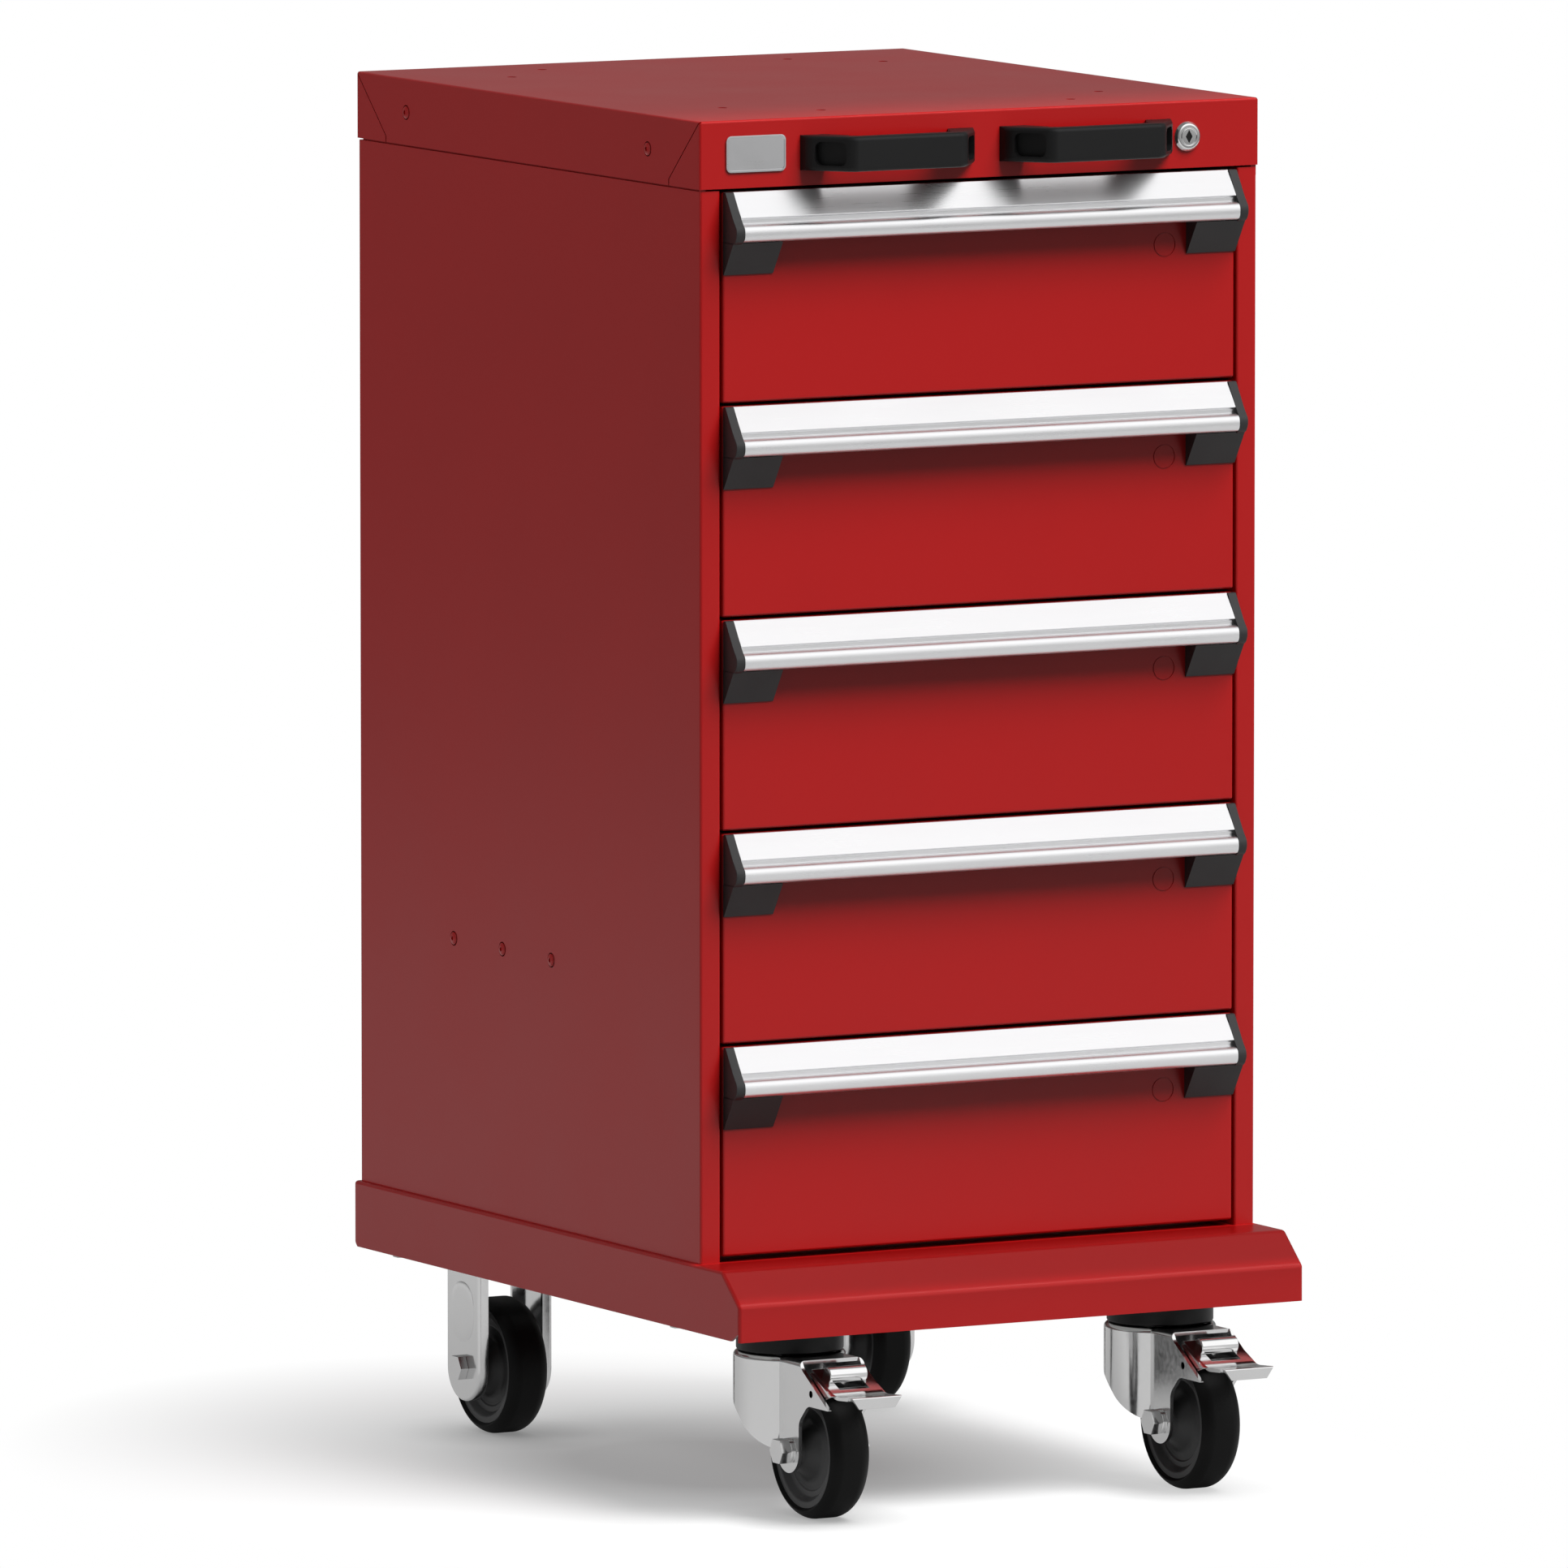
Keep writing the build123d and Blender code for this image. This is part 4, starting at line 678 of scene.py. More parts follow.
class CABINET_OT_handle_strips(Operator):
    """Extrude the aluminium handle strips and their moulded end caps"""

    bl_idname = "cabinet.handle_strips"
    bl_label = "Handle strips"

    def execute(self, context):
        cap_width = 7
        heel_width = 40
        ease = 0.5
        profile = [
            (0, 34.5), (0, 0), (2.2, 0, 0.4), (14.7, 17.7, 0.6), (12.6, 18.7, 0.4), (12.6, 22, 0.4),
            (16.0, 22, 0.8), (19.9, 23.6, 2.2), (21, 28.5, 2.4), (19.9, 33.4, 2.2), (16, 35, 0.8),
            (14, 35, 0.4), (14, 24), (10.6, 24), (10.6, 17.7), (1.8, 4), (1.8, 34.5),
        ]
        cheek = [
            (0, 36.3), (0, 0), (3.5, 0, 0.8), (14.7, 17.7, 1.5), (18, 22, 1.5), (20.6, 25, 2),
            (20.9, 30, 2), (18.6, 34.4, 1.5), (15.6, 36.3),
        ]
        heel = [(0, 35.3), (16, 35.3, 0.6), (1, 59, 0.3), (0, 59)]
        for body in DRAWERS:
            low, high = span(f"{body}_handle_strip")
            corner = (high[1], high[2], (-1, -1))
            strip = prism(placed(profile, *corner), "X", low[0], high[0])
            piece(f"{body}.strip", strip, body, [f"{body}_handle_strip"], "handle_aluminium", 20)
            caps = []
            for side in SIGNS:
                outer = side * span(f"{body}_end_caps")[1][0]
                for points, width, segments in ((cheek, cap_width, 4), (heel, heel_width, 3)):
                    cap = prism(placed(points, *corner), "X", outer, outer - side * width, segments)
                    caps.append(soften(cap, ease))
            piece(f"{body}.caps", together(*caps), body, [f"{body}_end_caps"], "cap_plastic")
        return {"FINISHED"}


class CABINET_OT_push_handles(Operator):
    """Mould the two push handles with the recesses in their slanted legs"""

    bl_idname = "cabinet.push_handles"
    bl_label = "Push handles"

    def execute(self, context):
        grip_round = size_of("grip_round")
        half = 70
        grip = 46
        foot = 20
        step = 8
        slant = 2
        grip_depth = 13
        pocket_depth = 5.5
        low, high = span("push_handles")
        wall = high[1]
        reach = wall - low[1]
        inner = reach - grip_depth
        mid_z = (low[2] + high[2]) / 2
        leg_run = half - slant - grip
        leg_rise = reach - step
        leg = sqrt(leg_run**2 + leg_rise**2)
        section = [
            (-half, 0), (slant - half, step, 4), (-grip, reach, 5), (grip, reach, 5),
            (half - slant, step, 4), (half, 0), (half - foot, 0), (grip - step, inner, 5),
            (step - grip, inner, 5), (foot - half, 0),
        ]
        handles = []
        for centre in (low[0] + half, high[0] - half):
            bridge = prism(placed(section, centre, wall, (1, -1)), "Z", low[2], high[2])
            rims = [
                edge
                for edge in sharp_edges(bridge, 60)
                if max(vert.co.y for vert in edge.verts) < wall - 1
            ]
            rounded(bridge, rims, grip_round, 5)
            for side in SIGNS:
                pocket = prism(rectangle(-12, 12, -8.5, 8.5, 4.5), "Z", -pocket_depth, 9)
                outwards = Vector((side * leg_rise / leg, -leg_run / leg, 0))
                along = Vector((side * leg_run / leg, leg_rise / leg, 0))
                turn = Matrix((along, outwards.cross(along), outwards)).transposed().to_4x4()
                spot = (centre + side * (half - slant + grip) / 2, wall - (step + reach) / 2, mid_z)
                bmesh.ops.transform(pocket, matrix=Matrix.Translation(spot) @ turn, verts=pocket.verts)
                bmesh.ops.recalc_face_normals(pocket, faces=pocket.faces)
                bridge = carve(bridge, pocket)
            handles.append(bridge)
        piece("push.handles", together(*handles), "cabinet", ["push_handles"], "black_plastic")
        return {"FINISHED"}


class CABINET_OT_lock(Operator):
    """Turn the lock's bezel and plug, cut its pointed keyway and fill it just inside with a black diamond, a
    painted shade for the keyway's depth
    """

    bl_idname = "cabinet.lock"
    bl_label = "Lock"

    def execute(self, context):
        wall = span("top_cover")[0][1]
        plug_end = span("lock_plug")[1][1] - wall
        x, _, z = middle("lock_plug")
        seat = (x, wall, z)
        bezel = lathe(
            [
                (0, 6.05), (-2.4, 6.05), (-3.0, 6.6, 0.2), (-3.0, 8.9, 0.8), (-0.6, 10.8, 0.4), (0, 10.8),
                (0, 9), (20, 9), (20, 6.05),
            ],
            seat, "Y", 64,
        )
        nut = lathe([(1.6, 9), (1.6, 12), (5.4, 12), (5.4, 9)], seat, "Y", 6)
        piece("lock.bezel", together(bezel, nut), "cabinet", ["lock_housing"], "lock_chrome")

        def diamond(half_x, half_z, start):
            points = [(x - half_x, z), (x, z + half_z), (x + half_x, z), (x, z - half_z)]
            return prism(points, "Y", wall - start, wall + 3)

        plug = lathe([(-2.9, 0), (-2.9, 6, 0.4), (plug_end, 6), (plug_end, 0)], seat, "Y", 48)
        plug = carve(plug, diamond(2.8, 4.8, 6))
        piece("lock.plug", plug, "lock_cylinder", ["lock_plug"], "lock_chrome")
        # A black diamond just inside the keyway stands in for the dark of its depth: painted shade, not real
        # wards.
        piece("lock.keyway_shade", diamond(2.5, 4.3, 2.4), "lock_cylinder", [], "black_plastic")
        return {"FINISHED"}


class CABINET_OT_plate(Operator):
    """Press the small blank plate with a raised rim"""

    bl_idname = "cabinet.plate"
    bl_label = "Blank plate"

    def execute(self, context):
        rim = 1.2
        drop = 0.35
        low, high = span("blank_plate")
        plate = prism(rectangle(low[0], high[0], low[2], high[2], 4), "Y", high[1], low[1])
        front = facing(plate, (0, -1, 0))
        bmesh.ops.inset_region(plate, faces=front, thickness=rim, depth=0)
        bmesh.ops.inset_region(plate, faces=front, thickness=drop, depth=-drop)
        soften(plate, 0.2, 2, 60)
        piece("blank.plate", plate, "cabinet", ["blank_plate"], "satin_plate")
        return {"FINISHED"}


class CABINET_OT_buttons(Operator):
    """Turn the domed screws on the sides and the plugs in the cover's top"""

    bl_idname = "cabinet.buttons"
    bl_label = "Buttons and plugs"

    def execute(self, context):
        dome = 1.2
        socket_radius = 1.7
        socket_depth = 1.6
        head = [(0, 0), (0, 4.65), (0.35, 4.55, 0.2), (0.9, 3.6, 0.5), (dome, 2.2, 0.5), (dome, 0)]
        plug = [(-3, 0), (-3, 5), (-1.5, 5), (-1.5, 3.5), (-1.4, 3.5, 0.3), (-1.2, 2.6, 0.3), (-1.2, 0)]
        cover_low, cover_high = span("top_cover")
        across = Matrix.Rotation(pi / 2, 4, "Y")
        cover_spots, panel_spots = screw_places()
        shapes = []
        for side in SIGNS:
            points = placed(head, 0, 0, (side, 1))
            for skin, y, z in cover_spots + panel_spots:
                top = Matrix.Translation((side * skin + side * dome, y, z))
                socket = six_sided(socket_radius, socket_depth, top @ across)
                shapes.append(carve(lathe(points, (side * skin, y, z), "X", 32), socket))
        for x, y in plug_places(cover_low, cover_high):
            shapes.append(lathe(plug, (x, y, cover_high[2]), "Z", 28))
        piece("panel.buttons", together(*shapes), "cabinet", ["panel_screws"], "red_paint")
        return {"FINISHED"}


def caster_plate(x, low, high):
    """Top plate of a caster with round corners, under the top of its node."""
    points = rectangle(x - PLATE_HALF, x + PLATE_HALF, low[1], high[1], 6)
    return soften(prism(points, "Z", high[2] - PLATE_SHEET, high[2], 5), 0.5)


class CABINET_OT_rear_forks(Operator):
    """Press the rigid rear forks: top plate and two dished legs with a raised pad on each"""

    bl_idname = "cabinet.rear_forks"
    bl_label = "Rear forks"

    def execute(self, context):
        sheet = size_of("fork_sheet")
        leg_half = 25
        bend = 2.5
        rim = 5.6
        pad_half = 17
        pad_rise = 22
        pad_slope = 5
        pad_height = 0.7
        low, high = span("rear_forks")
        _, axle_y, axle_z = middle("rear_left_tyre")
        seat = high[2] - PLATE_SHEET
        pad_z = (axle_z + seat) / 2 + 0.5
        pad_points = rectangle(axle_y - pad_half, axle_y + pad_half, pad_z - pad_rise, pad_z + pad_rise, 16)

        def leg_outline(half, top):
            foot = axle_z - half
            return [
                (axle_y - half, foot, half - 1), (axle_y + half, foot, half - 1),
                (axle_y + half, top), (axle_y - half, top),
            ]

        shapes = []
        for name in SIDES:
            x = middle(f"rear_{name}_tyre")[0]
            shapes.append(caster_plate(x, low, high))
            for side in SIGNS:
                skin = x + side * REAR_LEG
                inner = skin - side * sheet
                rim_end = inner - side * rim
                leg = prism(leg_outline(leg_half, seat), "X", rim_end, skin, 16)
                bends = [
                    edge
                    for edge in leg.edges
                    if all(abs(vert.co.x - skin) < 0.01 for vert in edge.verts)
                    and min(vert.co.z for vert in edge.verts) < seat - 0.01
                ]
                rounded(leg, bends, bend, 4)
                hollow = prism(leg_outline(leg_half - sheet, seat + 1), "X", rim_end - side, inner, 16)
                shapes.append(carve(leg, hollow))
                pad = prism(pad_points, "X", skin - side * 0.2, skin + side * 0.1, 8)
                crown = facing(pad, (side, 0, 0))
                bmesh.ops.inset_region(pad, faces=crown, thickness=pad_slope, depth=pad_height)
                shapes.append(pad)
        piece("rear.forks", together(*shapes), "cabinet", ["rear_forks"], "fork_chrome")
        return {"FINISHED"}


def axle_bolt(place, outer, collar, head):
    """Axle across a fork with an eased hexagon at each end, on a collar where it has one."""
    collar_radius = 9
    head_radius = 9.8
    reach = outer + collar
    shapes = [drum(place, "X", AXLE, -reach, reach, 32)]
    for side in SIGNS:
        seat = side * outer
        end = side * reach
        if collar:
            ring = [(seat, 0), (seat, collar_radius, 0.3), (end, collar_radius, 0.6), (end, 0)]
            shapes.append(lathe(ring, place, "X", 40))
        shapes.append(hexagon(place, "X", head_radius, end, end + side * head))
    return shapes


class CABINET_OT_wheels(Operator):
    """Turn the wheels and their axle bolts"""

    bl_idname = "cabinet.wheels"
    bl_label = "Wheels"

    def execute(self, context):
        tyre = [(-16, 44, 0.8), (-12.8, 50, 6.0), (12.8, 50, 6.0), (16, 44, 0.8), (13.5, 42), (-13.5, 42)]
        rear = []
        for end, leg in (("rear", REAR_LEG), ("front", FRONT_LEG)):
            hub = leg - 3
            half = [
                (hub, 5.05), (hub, 12, 0.8), (hub - 3.2, 13.2, 1.0), (9.5, 23, 2.0), (7.4, 29.4, 0.8),
                (8.6, 30.2, 0.4), (8.6, 34.2, 0.6), (13.5, 37.5, 0.8), (13.5, 42),
            ]
            profile = placed(half, 0, 0, (-1, 1)) + half[::-1]
            for name in SIDES:
                label = f"{end}_{name}"
                wheel = f"{label}_wheel"
                place = middle(f"{label}_tyre")
                core = lathe(profile, place, "X", 96)
                piece(f"{label}.core", core, wheel, [f"{label}_wheel_core"], "wheel_plastic")
                ring = lathe(tyre, place, "X", 120, 8)
                piece(f"{label}.ring", ring, wheel, [f"{label}_tyre"], "tyre_rubber")
                if end == "rear":
                    rear += axle_bolt(place, leg, 0, 6.4)
                else:
                    bolt = together(*axle_bolt(place, leg, 2, 7.8))
                    piece(f"{label}.bolt", bolt, f"{label}_caster", [f"{label}_axle"], "fork_chrome")
        piece("rear.bolts", together(*rear), "cabinet", ["rear_axles"], "fork_chrome")
        return {"FINISHED"}


def front_casters():
    """Label, middle and swivel axis of both front casters."""
    for name in SIDES:
        label = f"front_{name}"
        yield label, middle(f"{label}_tyre")[0], span(f"{label}_fork")[1][1] - HOOD


class CABINET_OT_front_forks(Operator):
    """Form the swivel forks: round hood, two legs and the forward wings"""

    bl_idname = "cabinet.front_forks"
    bl_label = "Front forks"

    def execute(self, context):
        sheet = size_of("fork_sheet")
        wing = 104
        rim = 4
        roof_reach = 60
        pin_hole = 6.05
        inner_half = FRONT_LEG - sheet
        profile = (
            (-HOOD - 1, -1), (-HOOD - 1, 28), (-HOOD, 28), (-15.17, 31.53, 25.4), (13.79, 60.49, 15.0),
            (28, 66), (28, 82, 15.9), (60, 82, 15.9), (60, 43.6, 4), (73, 30.6, 4), (wing, 30.6, 1.5),
            (64, 5.5, 3), (60, -1),
        )
        for label, x, swivel in front_casters():
            low, high = span(f"{label}_fork")
            tip = swivel - wing
            foot, crown = low[2], high[2]
            under = crown - sheet
            outer = carve(
                drum((x, swivel, 0), "Z", HOOD, foot, crown, 96),
                block((x - FRONT_LEG, tip, foot), (x + FRONT_LEG, swivel, crown)), "UNION",
            )
            rims = [
                edge
                for edge in sharp_edges(outer, 40)
                if min(vert.co.z for vert in edge.verts) > crown - 0.1
                and max(abs(vert.co.y - tip) for vert in edge.verts) > 0.1
            ]
            rounded(outer, rims, rim, 5)
            inner = carve(
                drum((x, swivel, 0), "Z", HOOD - sheet, foot - 1, under, 96),
                block((x - inner_half, tip - 1, foot - 1), (x + inner_half, swivel, under)), "UNION",
            )
            shell = carve(outer, inner)
            mouth = block((x - inner_half, tip - 1, foot), (x + inner_half, swivel - roof_reach, crown + 1))
            shell = carve(shell, mouth)
            side_view = placed(profile, swivel, crown, (-1, -1))
            shell = carve(shell, prism(side_view, "X", x - HOOD - 1, x + HOOD + 1, 12), "INTERSECT")
            shell = carve(shell, drum((x, swivel, crown), "Z", pin_hole, -9, 9, 32))
            piece(f"{label}.fork", shell, f"{label}_caster", [f"{label}_fork"], "fork_chrome")
        return {"FINISHED"}


class CABINET_OT_pedals(Operator):
    """Form the brake pedals: sloped plate with a window, roll, tread and cross pin"""

    bl_idname = "cabinet.pedals"
    bl_label = "Brake pedals"

    def execute(self, context):
        half = 20
        sheet = 2.5
        tread = 129
        pin = 94.497
        ear_reach = 19.7
        window_half = 12
        flip = (-1, 1)
        slope = [
            (68, 111, 0.8), (104, 95.5, 6), (tread, 97.4, 1.0), (tread, 89, 0.6),
            (tread - sheet, 89, 0.6), (tread - sheet, 97.2 - sheet, 0.6),
            (104, 95.5 - sheet, 4), (68, 111 - sheet, 0.8),
        ]
        ear = [(70, 109, 1), (102, 95.2, 1), (84, 89, 4), (76, 88.2, 4), (71.5, 93, 4)]
        for label, x, swivel in front_casters():
            plate = prism(placed(slope, swivel, 0, flip), "X", x - half, x + half, 5)
            taper = []
            for side in SIGNS:
                edge = x + side * half
                slant = edge - side * 5.5
                wedge = [(edge + side, 97), (edge, 97), (slant, 89), (slant, 88), (edge + side, 88)]
                taper.append(prism(wedge, "Y", swivel - tread - 3, swivel - tread + 7))
            plate = carve(plate, together(*taper))
            window = block((x - window_half, swivel - 96, pin), (x + window_half, swivel - 79, 112))
            shapes = [soften(carve(plate, window), 0.4, 2, 50)]
            for side in SIGNS:
                near = x + side * ear_reach
                flap = prism(placed(ear, swivel, 0, flip), "X", near, near + side * sheet, 5)
                shapes.append(soften(flap, 0.3, 2, 50))
            for reach, radius, ease, forward, height, steps in (
                (FRONT_LEG, 3, 0.4, 78, pin, 28), (15, 5.8, 0.5, 82, 108, 40),
            ):
                bar = [(-reach, 0), (-reach, radius, ease), (reach, radius, ease), (reach, 0)]
                shapes.append(lathe(bar, (x, swivel - forward, height), "X", steps))
            pedal = together(*shapes)
            piece(f"{label}.pedal", pedal, f"{label}_pedal", [f"{label}_brake_pedal"], "fork_chrome")
        return {"FINISHED"}


class CABINET_OT_caster_heads(Operator):
    """Turn the dust rings and form the swivel plates with their kingpins"""

    bl_idname = "cabinet.caster_heads"
    bl_label = "Caster heads"

    def execute(self, context):
        crown = span("front_left_fork")[1][2]
        low, high = span("swivel_plates")
        seat = high[2] - PLATE_SHEET
        ring = [(crown + 0.6, 30.5), (crown + 0.6, 38.5, 1.5), (crown + 15, 38.5, 1.5), (crown + 15, 30.5)]
        kingpin = [
            (seat, 0), (seat, 30), (crown + 0.3, 30, 1), (crown + 0.3, 6), (crown - 3, 6),
            (crown - 3, 10, 0.4), (crown - 6.5, 10, 0.8), (crown - 6.5, 0),
        ]
        rings = []
        plates = []
        for _, x, swivel in front_casters():
            rings.append(lathe(ring, (x, swivel, 0), "Z", 80))
            plates += [caster_plate(x, low, high), lathe(kingpin, (x, swivel, 0), "Z", 64)]
        piece("dust.rings", together(*rings), "cabinet", ["dust_rings"], "black_plastic")
        piece("swivel.plates", together(*plates), "cabinet", ["swivel_plates"], "zinc_steel")
        return {"FINISHED"}


class CABINET_OT_bolts(Operator):
    """Set the low bolts of the caster plates and the hexagon bolts of the base lips"""

    bl_idname = "cabinet.bolts"
    bl_label = "Base bolts"

    def execute(self, context):
        shank_radius = 4
        head_radius = 7
        lip_head = 3
        lip_inset = 13
        front_inset = 83
        rear_inset = 23
        bolt_x, bolt_y = 40, 30
        channel_sheet = 2.5
        nut_height = 6.5
        plate_top = span("swivel_plates")[1][2]
        under = plate_top - PLATE_SHEET
        lip_bottom = span("base_pan")[0][2]
        nut_seat = plate_top + channel_sheet
        nut_top = nut_seat + nut_height
        dome = [
            (under, 0), (under, head_radius), (under - 0.8, 6.8, 0.3), (under - 2, 4.4, 0.8), (under - 2, 0),
        ]
        shapes = []

        def shank(x, y, start):
            stem = drum((x, y, 0), "Z", shank_radius, start, nut_top, 16)
            return [stem, hexagon((x, y, 0), "Z", head_radius, nut_seat, nut_top)]

        for plates in ("swivel_plates", "rear_forks"):
            mid_y = middle(plates)[1]
            for name in SIDES:
                mid_x = middle(f"rear_{name}_tyre")[0]
                for turn_x, turn_y in CORNERS:
                    x, y = mid_x + turn_x * bolt_x, mid_y + turn_y * bolt_y
                    shapes += [*shank(x, y, under), lathe(dome, (x, y, 0), "Z", 28)]
        lip_x = span("base_pan")[1][0] - lip_inset
        channels_low, channels_high = span("caster_channels")
        for turn_x in SIGNS:
            for y in (channels_low[1] + front_inset, channels_high[1] - rear_inset):
                shapes += shank(turn_x * lip_x, y, lip_bottom)
                head = (lip_bottom - lip_head, lip_bottom)
                shapes.append(hexagon((turn_x * lip_x, y, 0), "Z", head_radius, *head))
        piece("base.bolts", together(*shapes), "cabinet", ["base_bolts"], "zinc_steel")
        return {"FINISHED"}


class CABINET_OT_inner_steel(Operator):
    """Give the rails, the lock bar and the hidden sheet their finishes"""

    bl_idname = "cabinet.inner_steel"
    bl_label = "Inner steel"

    def execute(self, context):
        plated = ["lock_cam", "lock_bar", "cabinet_rails", "push_handle_screws", "caster_channels"]
        for drawer in DRAWERS:
            plated += [f"{drawer}_rails", f"{drawer}_carriages"]
        for slot, nodes in (("zinc_steel", plated), ("red_paint", ["back_panel", "housing_floor"])):
            for node in nodes:
                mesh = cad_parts[node].data
                mesh.materials.clear()
                mesh.materials.append(finish(slot))
        return {"FINISHED"}


class CABINET_OT_stage(Operator):
    """Set up the floor, the soft light and the camera"""

    bl_idname = "cabinet.stage"
    bl_label = "Stage"

    def execute(self, context):
        scene = context.scene
        stage = scene.cabinet_stage
        scene.view_settings.view_transform = "Standard"
        disc = bmesh.new()
        bmesh.ops.create_circle(disc, cap_ends=True, segments=96, radius=4.0)
        floor = scene_object("studio.floor", disc)
        floor.data.materials.append(floor_finish(stage.floor_fill))
        base_low, base_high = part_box("base_pan")
        scrim("studio.top_scrim", (-0.5, -0.26, 1.16), (0.6, 0.5, 1.161), 0.43)
        scrim(
                "studio.ledge_scrim",
                (base_low[0], base_low[1] - 0.012, base_high[2] + 0.003),
                (base_high[0] + 0.012, base_low[1] + 0.06, base_high[2] + 0.004), 0.42,
            )
        studio_world(scene, stage.ambient)
        soft_light("Key light", (0.29, -0.475, 0.831), distance=11.0, size=6.1, power=stage.key_power)
        soft_light("Side light", (-0.94, 0.16, 0.30), distance=3.5, size=2.4, power=stage.side_power)
        soft_light("Rear light", (0.25, 0.96, 0.12), distance=3.5, size=2.4, power=stage.rear_power)
        camera = bpy.data.cameras.new("Photo camera")
        camera.lens = 476.2
        camera.sensor_width = 36
        camera.clip_end = 100
        eye = bpy.data.objects.new("Photo camera", camera)
        target = Vector((-0.01647, 0.0603, 0.4886))
        distance = 15.0391
        turn, rise = radians(-28.714), radians(6.432)
        away = Vector((sin(turn) * cos(rise), -cos(turn) * cos(rise), sin(rise)))
        eye.location = target + distance * away
        eye.rotation_euler = away.to_track_quat("Z", "Y").to_euler()
        scene.collection.objects.link(eye)
        scene.camera = eye
        return {"FINISHED"}


def soft_light(name, direction, distance, size, power):
    """Square lamp that shines on the cabinet from a direction and stays out of mirrors."""
    light = bpy.data.lights.new(name, "AREA")
    light.shape = "SQUARE"
    light.size = size
    light.energy = power
    lamp = bpy.data.objects.new(name, light)
    towards = Vector(direction)
    lamp.location = Vector((0, 0, 0.5)) + distance * towards
    lamp.rotation_euler = towards.to_track_quat("Z", "Y").to_euler()
    lamp.visible_glossy = False
    bpy.context.scene.collection.objects.link(lamp)


def bare_material(name):
    """New material with an output and no shader."""
    material = bpy.data.materials.new(name)
    material.use_nodes = True
    tree = material.node_tree
    tree.nodes.remove(tree.nodes["Principled BSDF"])
    return material, tree


def scrim(name, low, high, clear):
    """Half-open net between the lamps and part of the cabinet that only the lamps see."""
    material, tree = bare_material(name)
    side_clear = sqrt(clear)
    weave = add_node(tree, "BsdfTransparent", {"Color": (side_clear, side_clear, side_clear, 1)})
    feed(tree, tree.nodes["Material Output"], {"Surface": weave.outputs[0]})
    hung = scene_object(name, block(low, high))
    hung.data.materials.append(material)
    for ray in ("camera", "diffuse", "glossy", "transmission"):
        setattr(hung, f"visible_{ray}", False)
    return hung


def glowing_floor(tree, grey, strength):
    """Matt floor with a little glow, its colour and glow darkened by ambient occlusion: painted contact
    shade where something stands on it.
    """
    # Ambient occlusion darkens the floor's colour and glow here: painted contact shade, not shadow from the
    # lamps.
    painted_contact_shade = add_node(tree, "AmbientOcclusion", {"Distance": 0.06, "Color": (grey, grey, grey, 1)})
    matt = add_node(tree, "BsdfDiffuse", {"Color": painted_contact_shade.outputs["Color"]})
    glow = add_node(tree, "Emission", {"Color": painted_contact_shade.outputs["AO"], "Strength": strength})
    return add_node(tree, "AddShader", {0: matt.outputs[0], 1: glow.outputs[0]}).outputs[0]


def blend(tree, mask, first, second):
    """Mix two shaders by a mask."""
    return add_node(tree, "MixShader", {"Fac": mask, 1: first, 2: second}).outputs[0]


def by_ray(tree, even, mirrored, shown):
    """A shader for soft light, one for mirrors that no dull surface has dimmed and one for the camera."""
    path = add_node(tree, "LightPath", {}).outputs
    either = maths(tree, "MAXIMUM", path["Is Glossy Ray"], path["Is Transmission Ray"])
    direct = maths(tree, "LESS_THAN", path["Diffuse Depth"], 0.5)
    mirrors = maths(tree, "MULTIPLY", either, direct)
    return blend(tree, path["Is Camera Ray"], blend(tree, mirrors, even, mirrored), shown)


def floor_finish(fill):
    """Pale floor: white to the camera with the object's shadow and painted contact shade near it, the shadow
    painted out to white further off; duller in mirrors and to soft light.
    """
    material, tree = bare_material("Pale floor")
    white = add_node(tree, "Emission", {"Strength": 1.0})
    place = add_node(tree, "TexCoord", {}).outputs["Object"]
    # Past a fade round the footprint the floor turns plain white over the cabinet's cast shadow: painted
    # light that sets where the shadow ends.
    footprint = add_node(
        tree, "VectorMath", {0: place, 1: (4.3, 3.4, 0), 2: (0.4, -0.1, 0)}, operation="MULTIPLY_ADD"
    )
    away = add_node(tree, "VectorMath", {0: footprint.outputs["Vector"]}, operation="LENGTH")
    fade = add_node(tree, "MapRange", {
        "Value": away.outputs["Value"], "From Min": 0.4, "From Max": 2.1,
    })
    near = glowing_floor(tree, grey=0.62, strength=fill)
    shown = blend(tree, fade.outputs["Result"], near, white.outputs[0])
    mirrored = glowing_floor(tree, grey=0.14, strength=0.44)
    bounce = glowing_floor(tree, grey=0.12, strength=0.0)
    feed(tree, tree.nodes["Material Output"], {"Surface": by_ray(tree, bounce, mirrored, shown)})
    return material


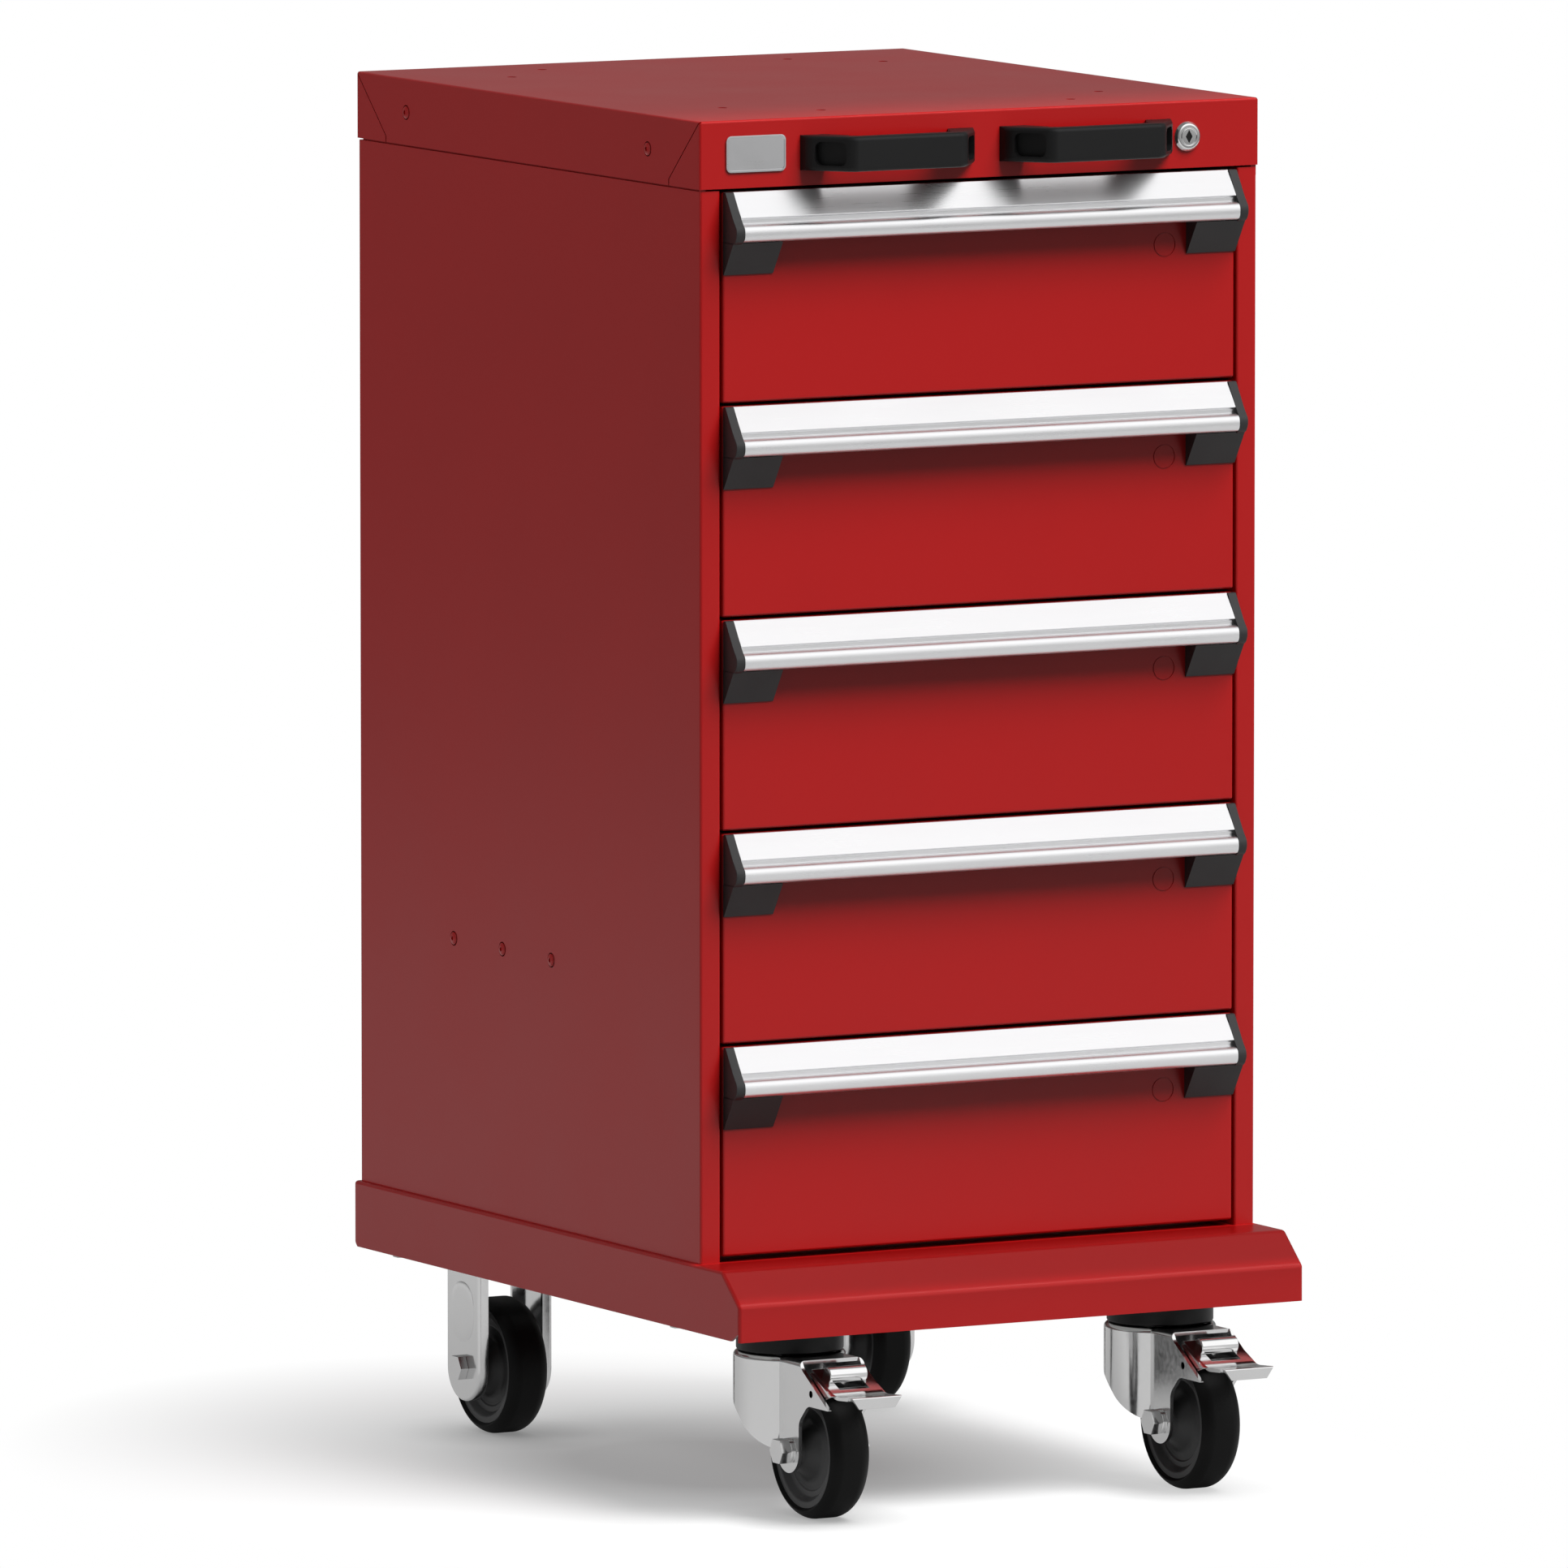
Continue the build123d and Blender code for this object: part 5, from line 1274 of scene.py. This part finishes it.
def studio_world(scene, ambient):
    """White to the camera, soft even light, and in mirrors a bright soft box over a grey room."""
    world = bpy.data.worlds.new("Studio")
    world.use_nodes = True
    scene.world = world
    tree = world.node_tree
    even = tree.nodes["Background"]
    feed(tree, even, {"Color": WHITE, "Strength": ambient})
    place = add_node(tree, "TexCoord", {}).outputs["Generated"]
    towards = add_node(tree, "VectorMath", {0: place, 1: (0.45, -0.65, 0.61)}, operation="DOT_PRODUCT")
    softbox = add_node(tree, "MapRange", {
        "Value": towards.outputs["Value"], "From Min": 0.68, "From Max": 0.92, "To Min": 0.2, "To Max": 1.22,
    }, interpolation_type="SMOOTHSTEP")
    room = add_node(tree, "Background", {"Color": WHITE, "Strength": softbox.outputs["Result"]})
    white = add_node(tree, "Background", {"Color": WHITE})
    whole = by_ray(tree, even.outputs[0], room.outputs[0], white.outputs[0])
    feed(tree, tree.nodes["World Output"], {"Surface": whole})


PIECE_OPERATORS = (
    CABINET_OT_cover,
    CABINET_OT_side_panels,
    CABINET_OT_base,
    CABINET_OT_drawers,
    CABINET_OT_handle_strips,
    CABINET_OT_push_handles,
    CABINET_OT_lock,
    CABINET_OT_plate,
    CABINET_OT_buttons,
    CABINET_OT_rear_forks,
    CABINET_OT_wheels,
    CABINET_OT_front_forks,
    CABINET_OT_pedals,
    CABINET_OT_caster_heads,
    CABINET_OT_bolts,
    CABINET_OT_inner_steel,
    CABINET_OT_stage,
)


class CABINET_PT_tools(Panel):
    """Lists the operators, sizes, finishes and lights of the cabinet"""

    bl_label = "Drawer cabinet"
    bl_space_type = "VIEW_3D"
    bl_region_type = "UI"
    bl_category = "Cabinet"

    def draw(self, context):
        for group in ("cabinet_sizes", "cabinet_finishes", "cabinet_stage"):
            settings = getattr(context.scene, group)
            box = self.layout.box()
            for name in settings.__annotations__:
                box.prop(settings, name)
        for tool in PIECE_OPERATORS:
            self.layout.operator(tool.bl_idname)


CLASSES = (CabinetSizes, CabinetFinishes, CabinetStage, *PIECE_OPERATORS, CABINET_PT_tools)


def register():
    for item in CLASSES:
        bpy.utils.register_class(item)
    bpy.types.Scene.cabinet_sizes = PointerProperty(type=CabinetSizes)
    bpy.types.Scene.cabinet_finishes = PointerProperty(type=CabinetFinishes)
    bpy.types.Scene.cabinet_stage = PointerProperty(type=CabinetStage)


def unregister():
    del bpy.types.Scene.cabinet_stage
    del bpy.types.Scene.cabinet_finishes
    del bpy.types.Scene.cabinet_sizes
    for item in reversed(CLASSES):
        bpy.utils.unregister_class(item)


def main():
    """Register the add-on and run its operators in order."""
    register()
    for tool in PIECE_OPERATORS:
        group, name = tool.bl_idname.split(".")
        getattr(getattr(bpy.ops, group), name)()


if __name__ == "__main__":
    main()
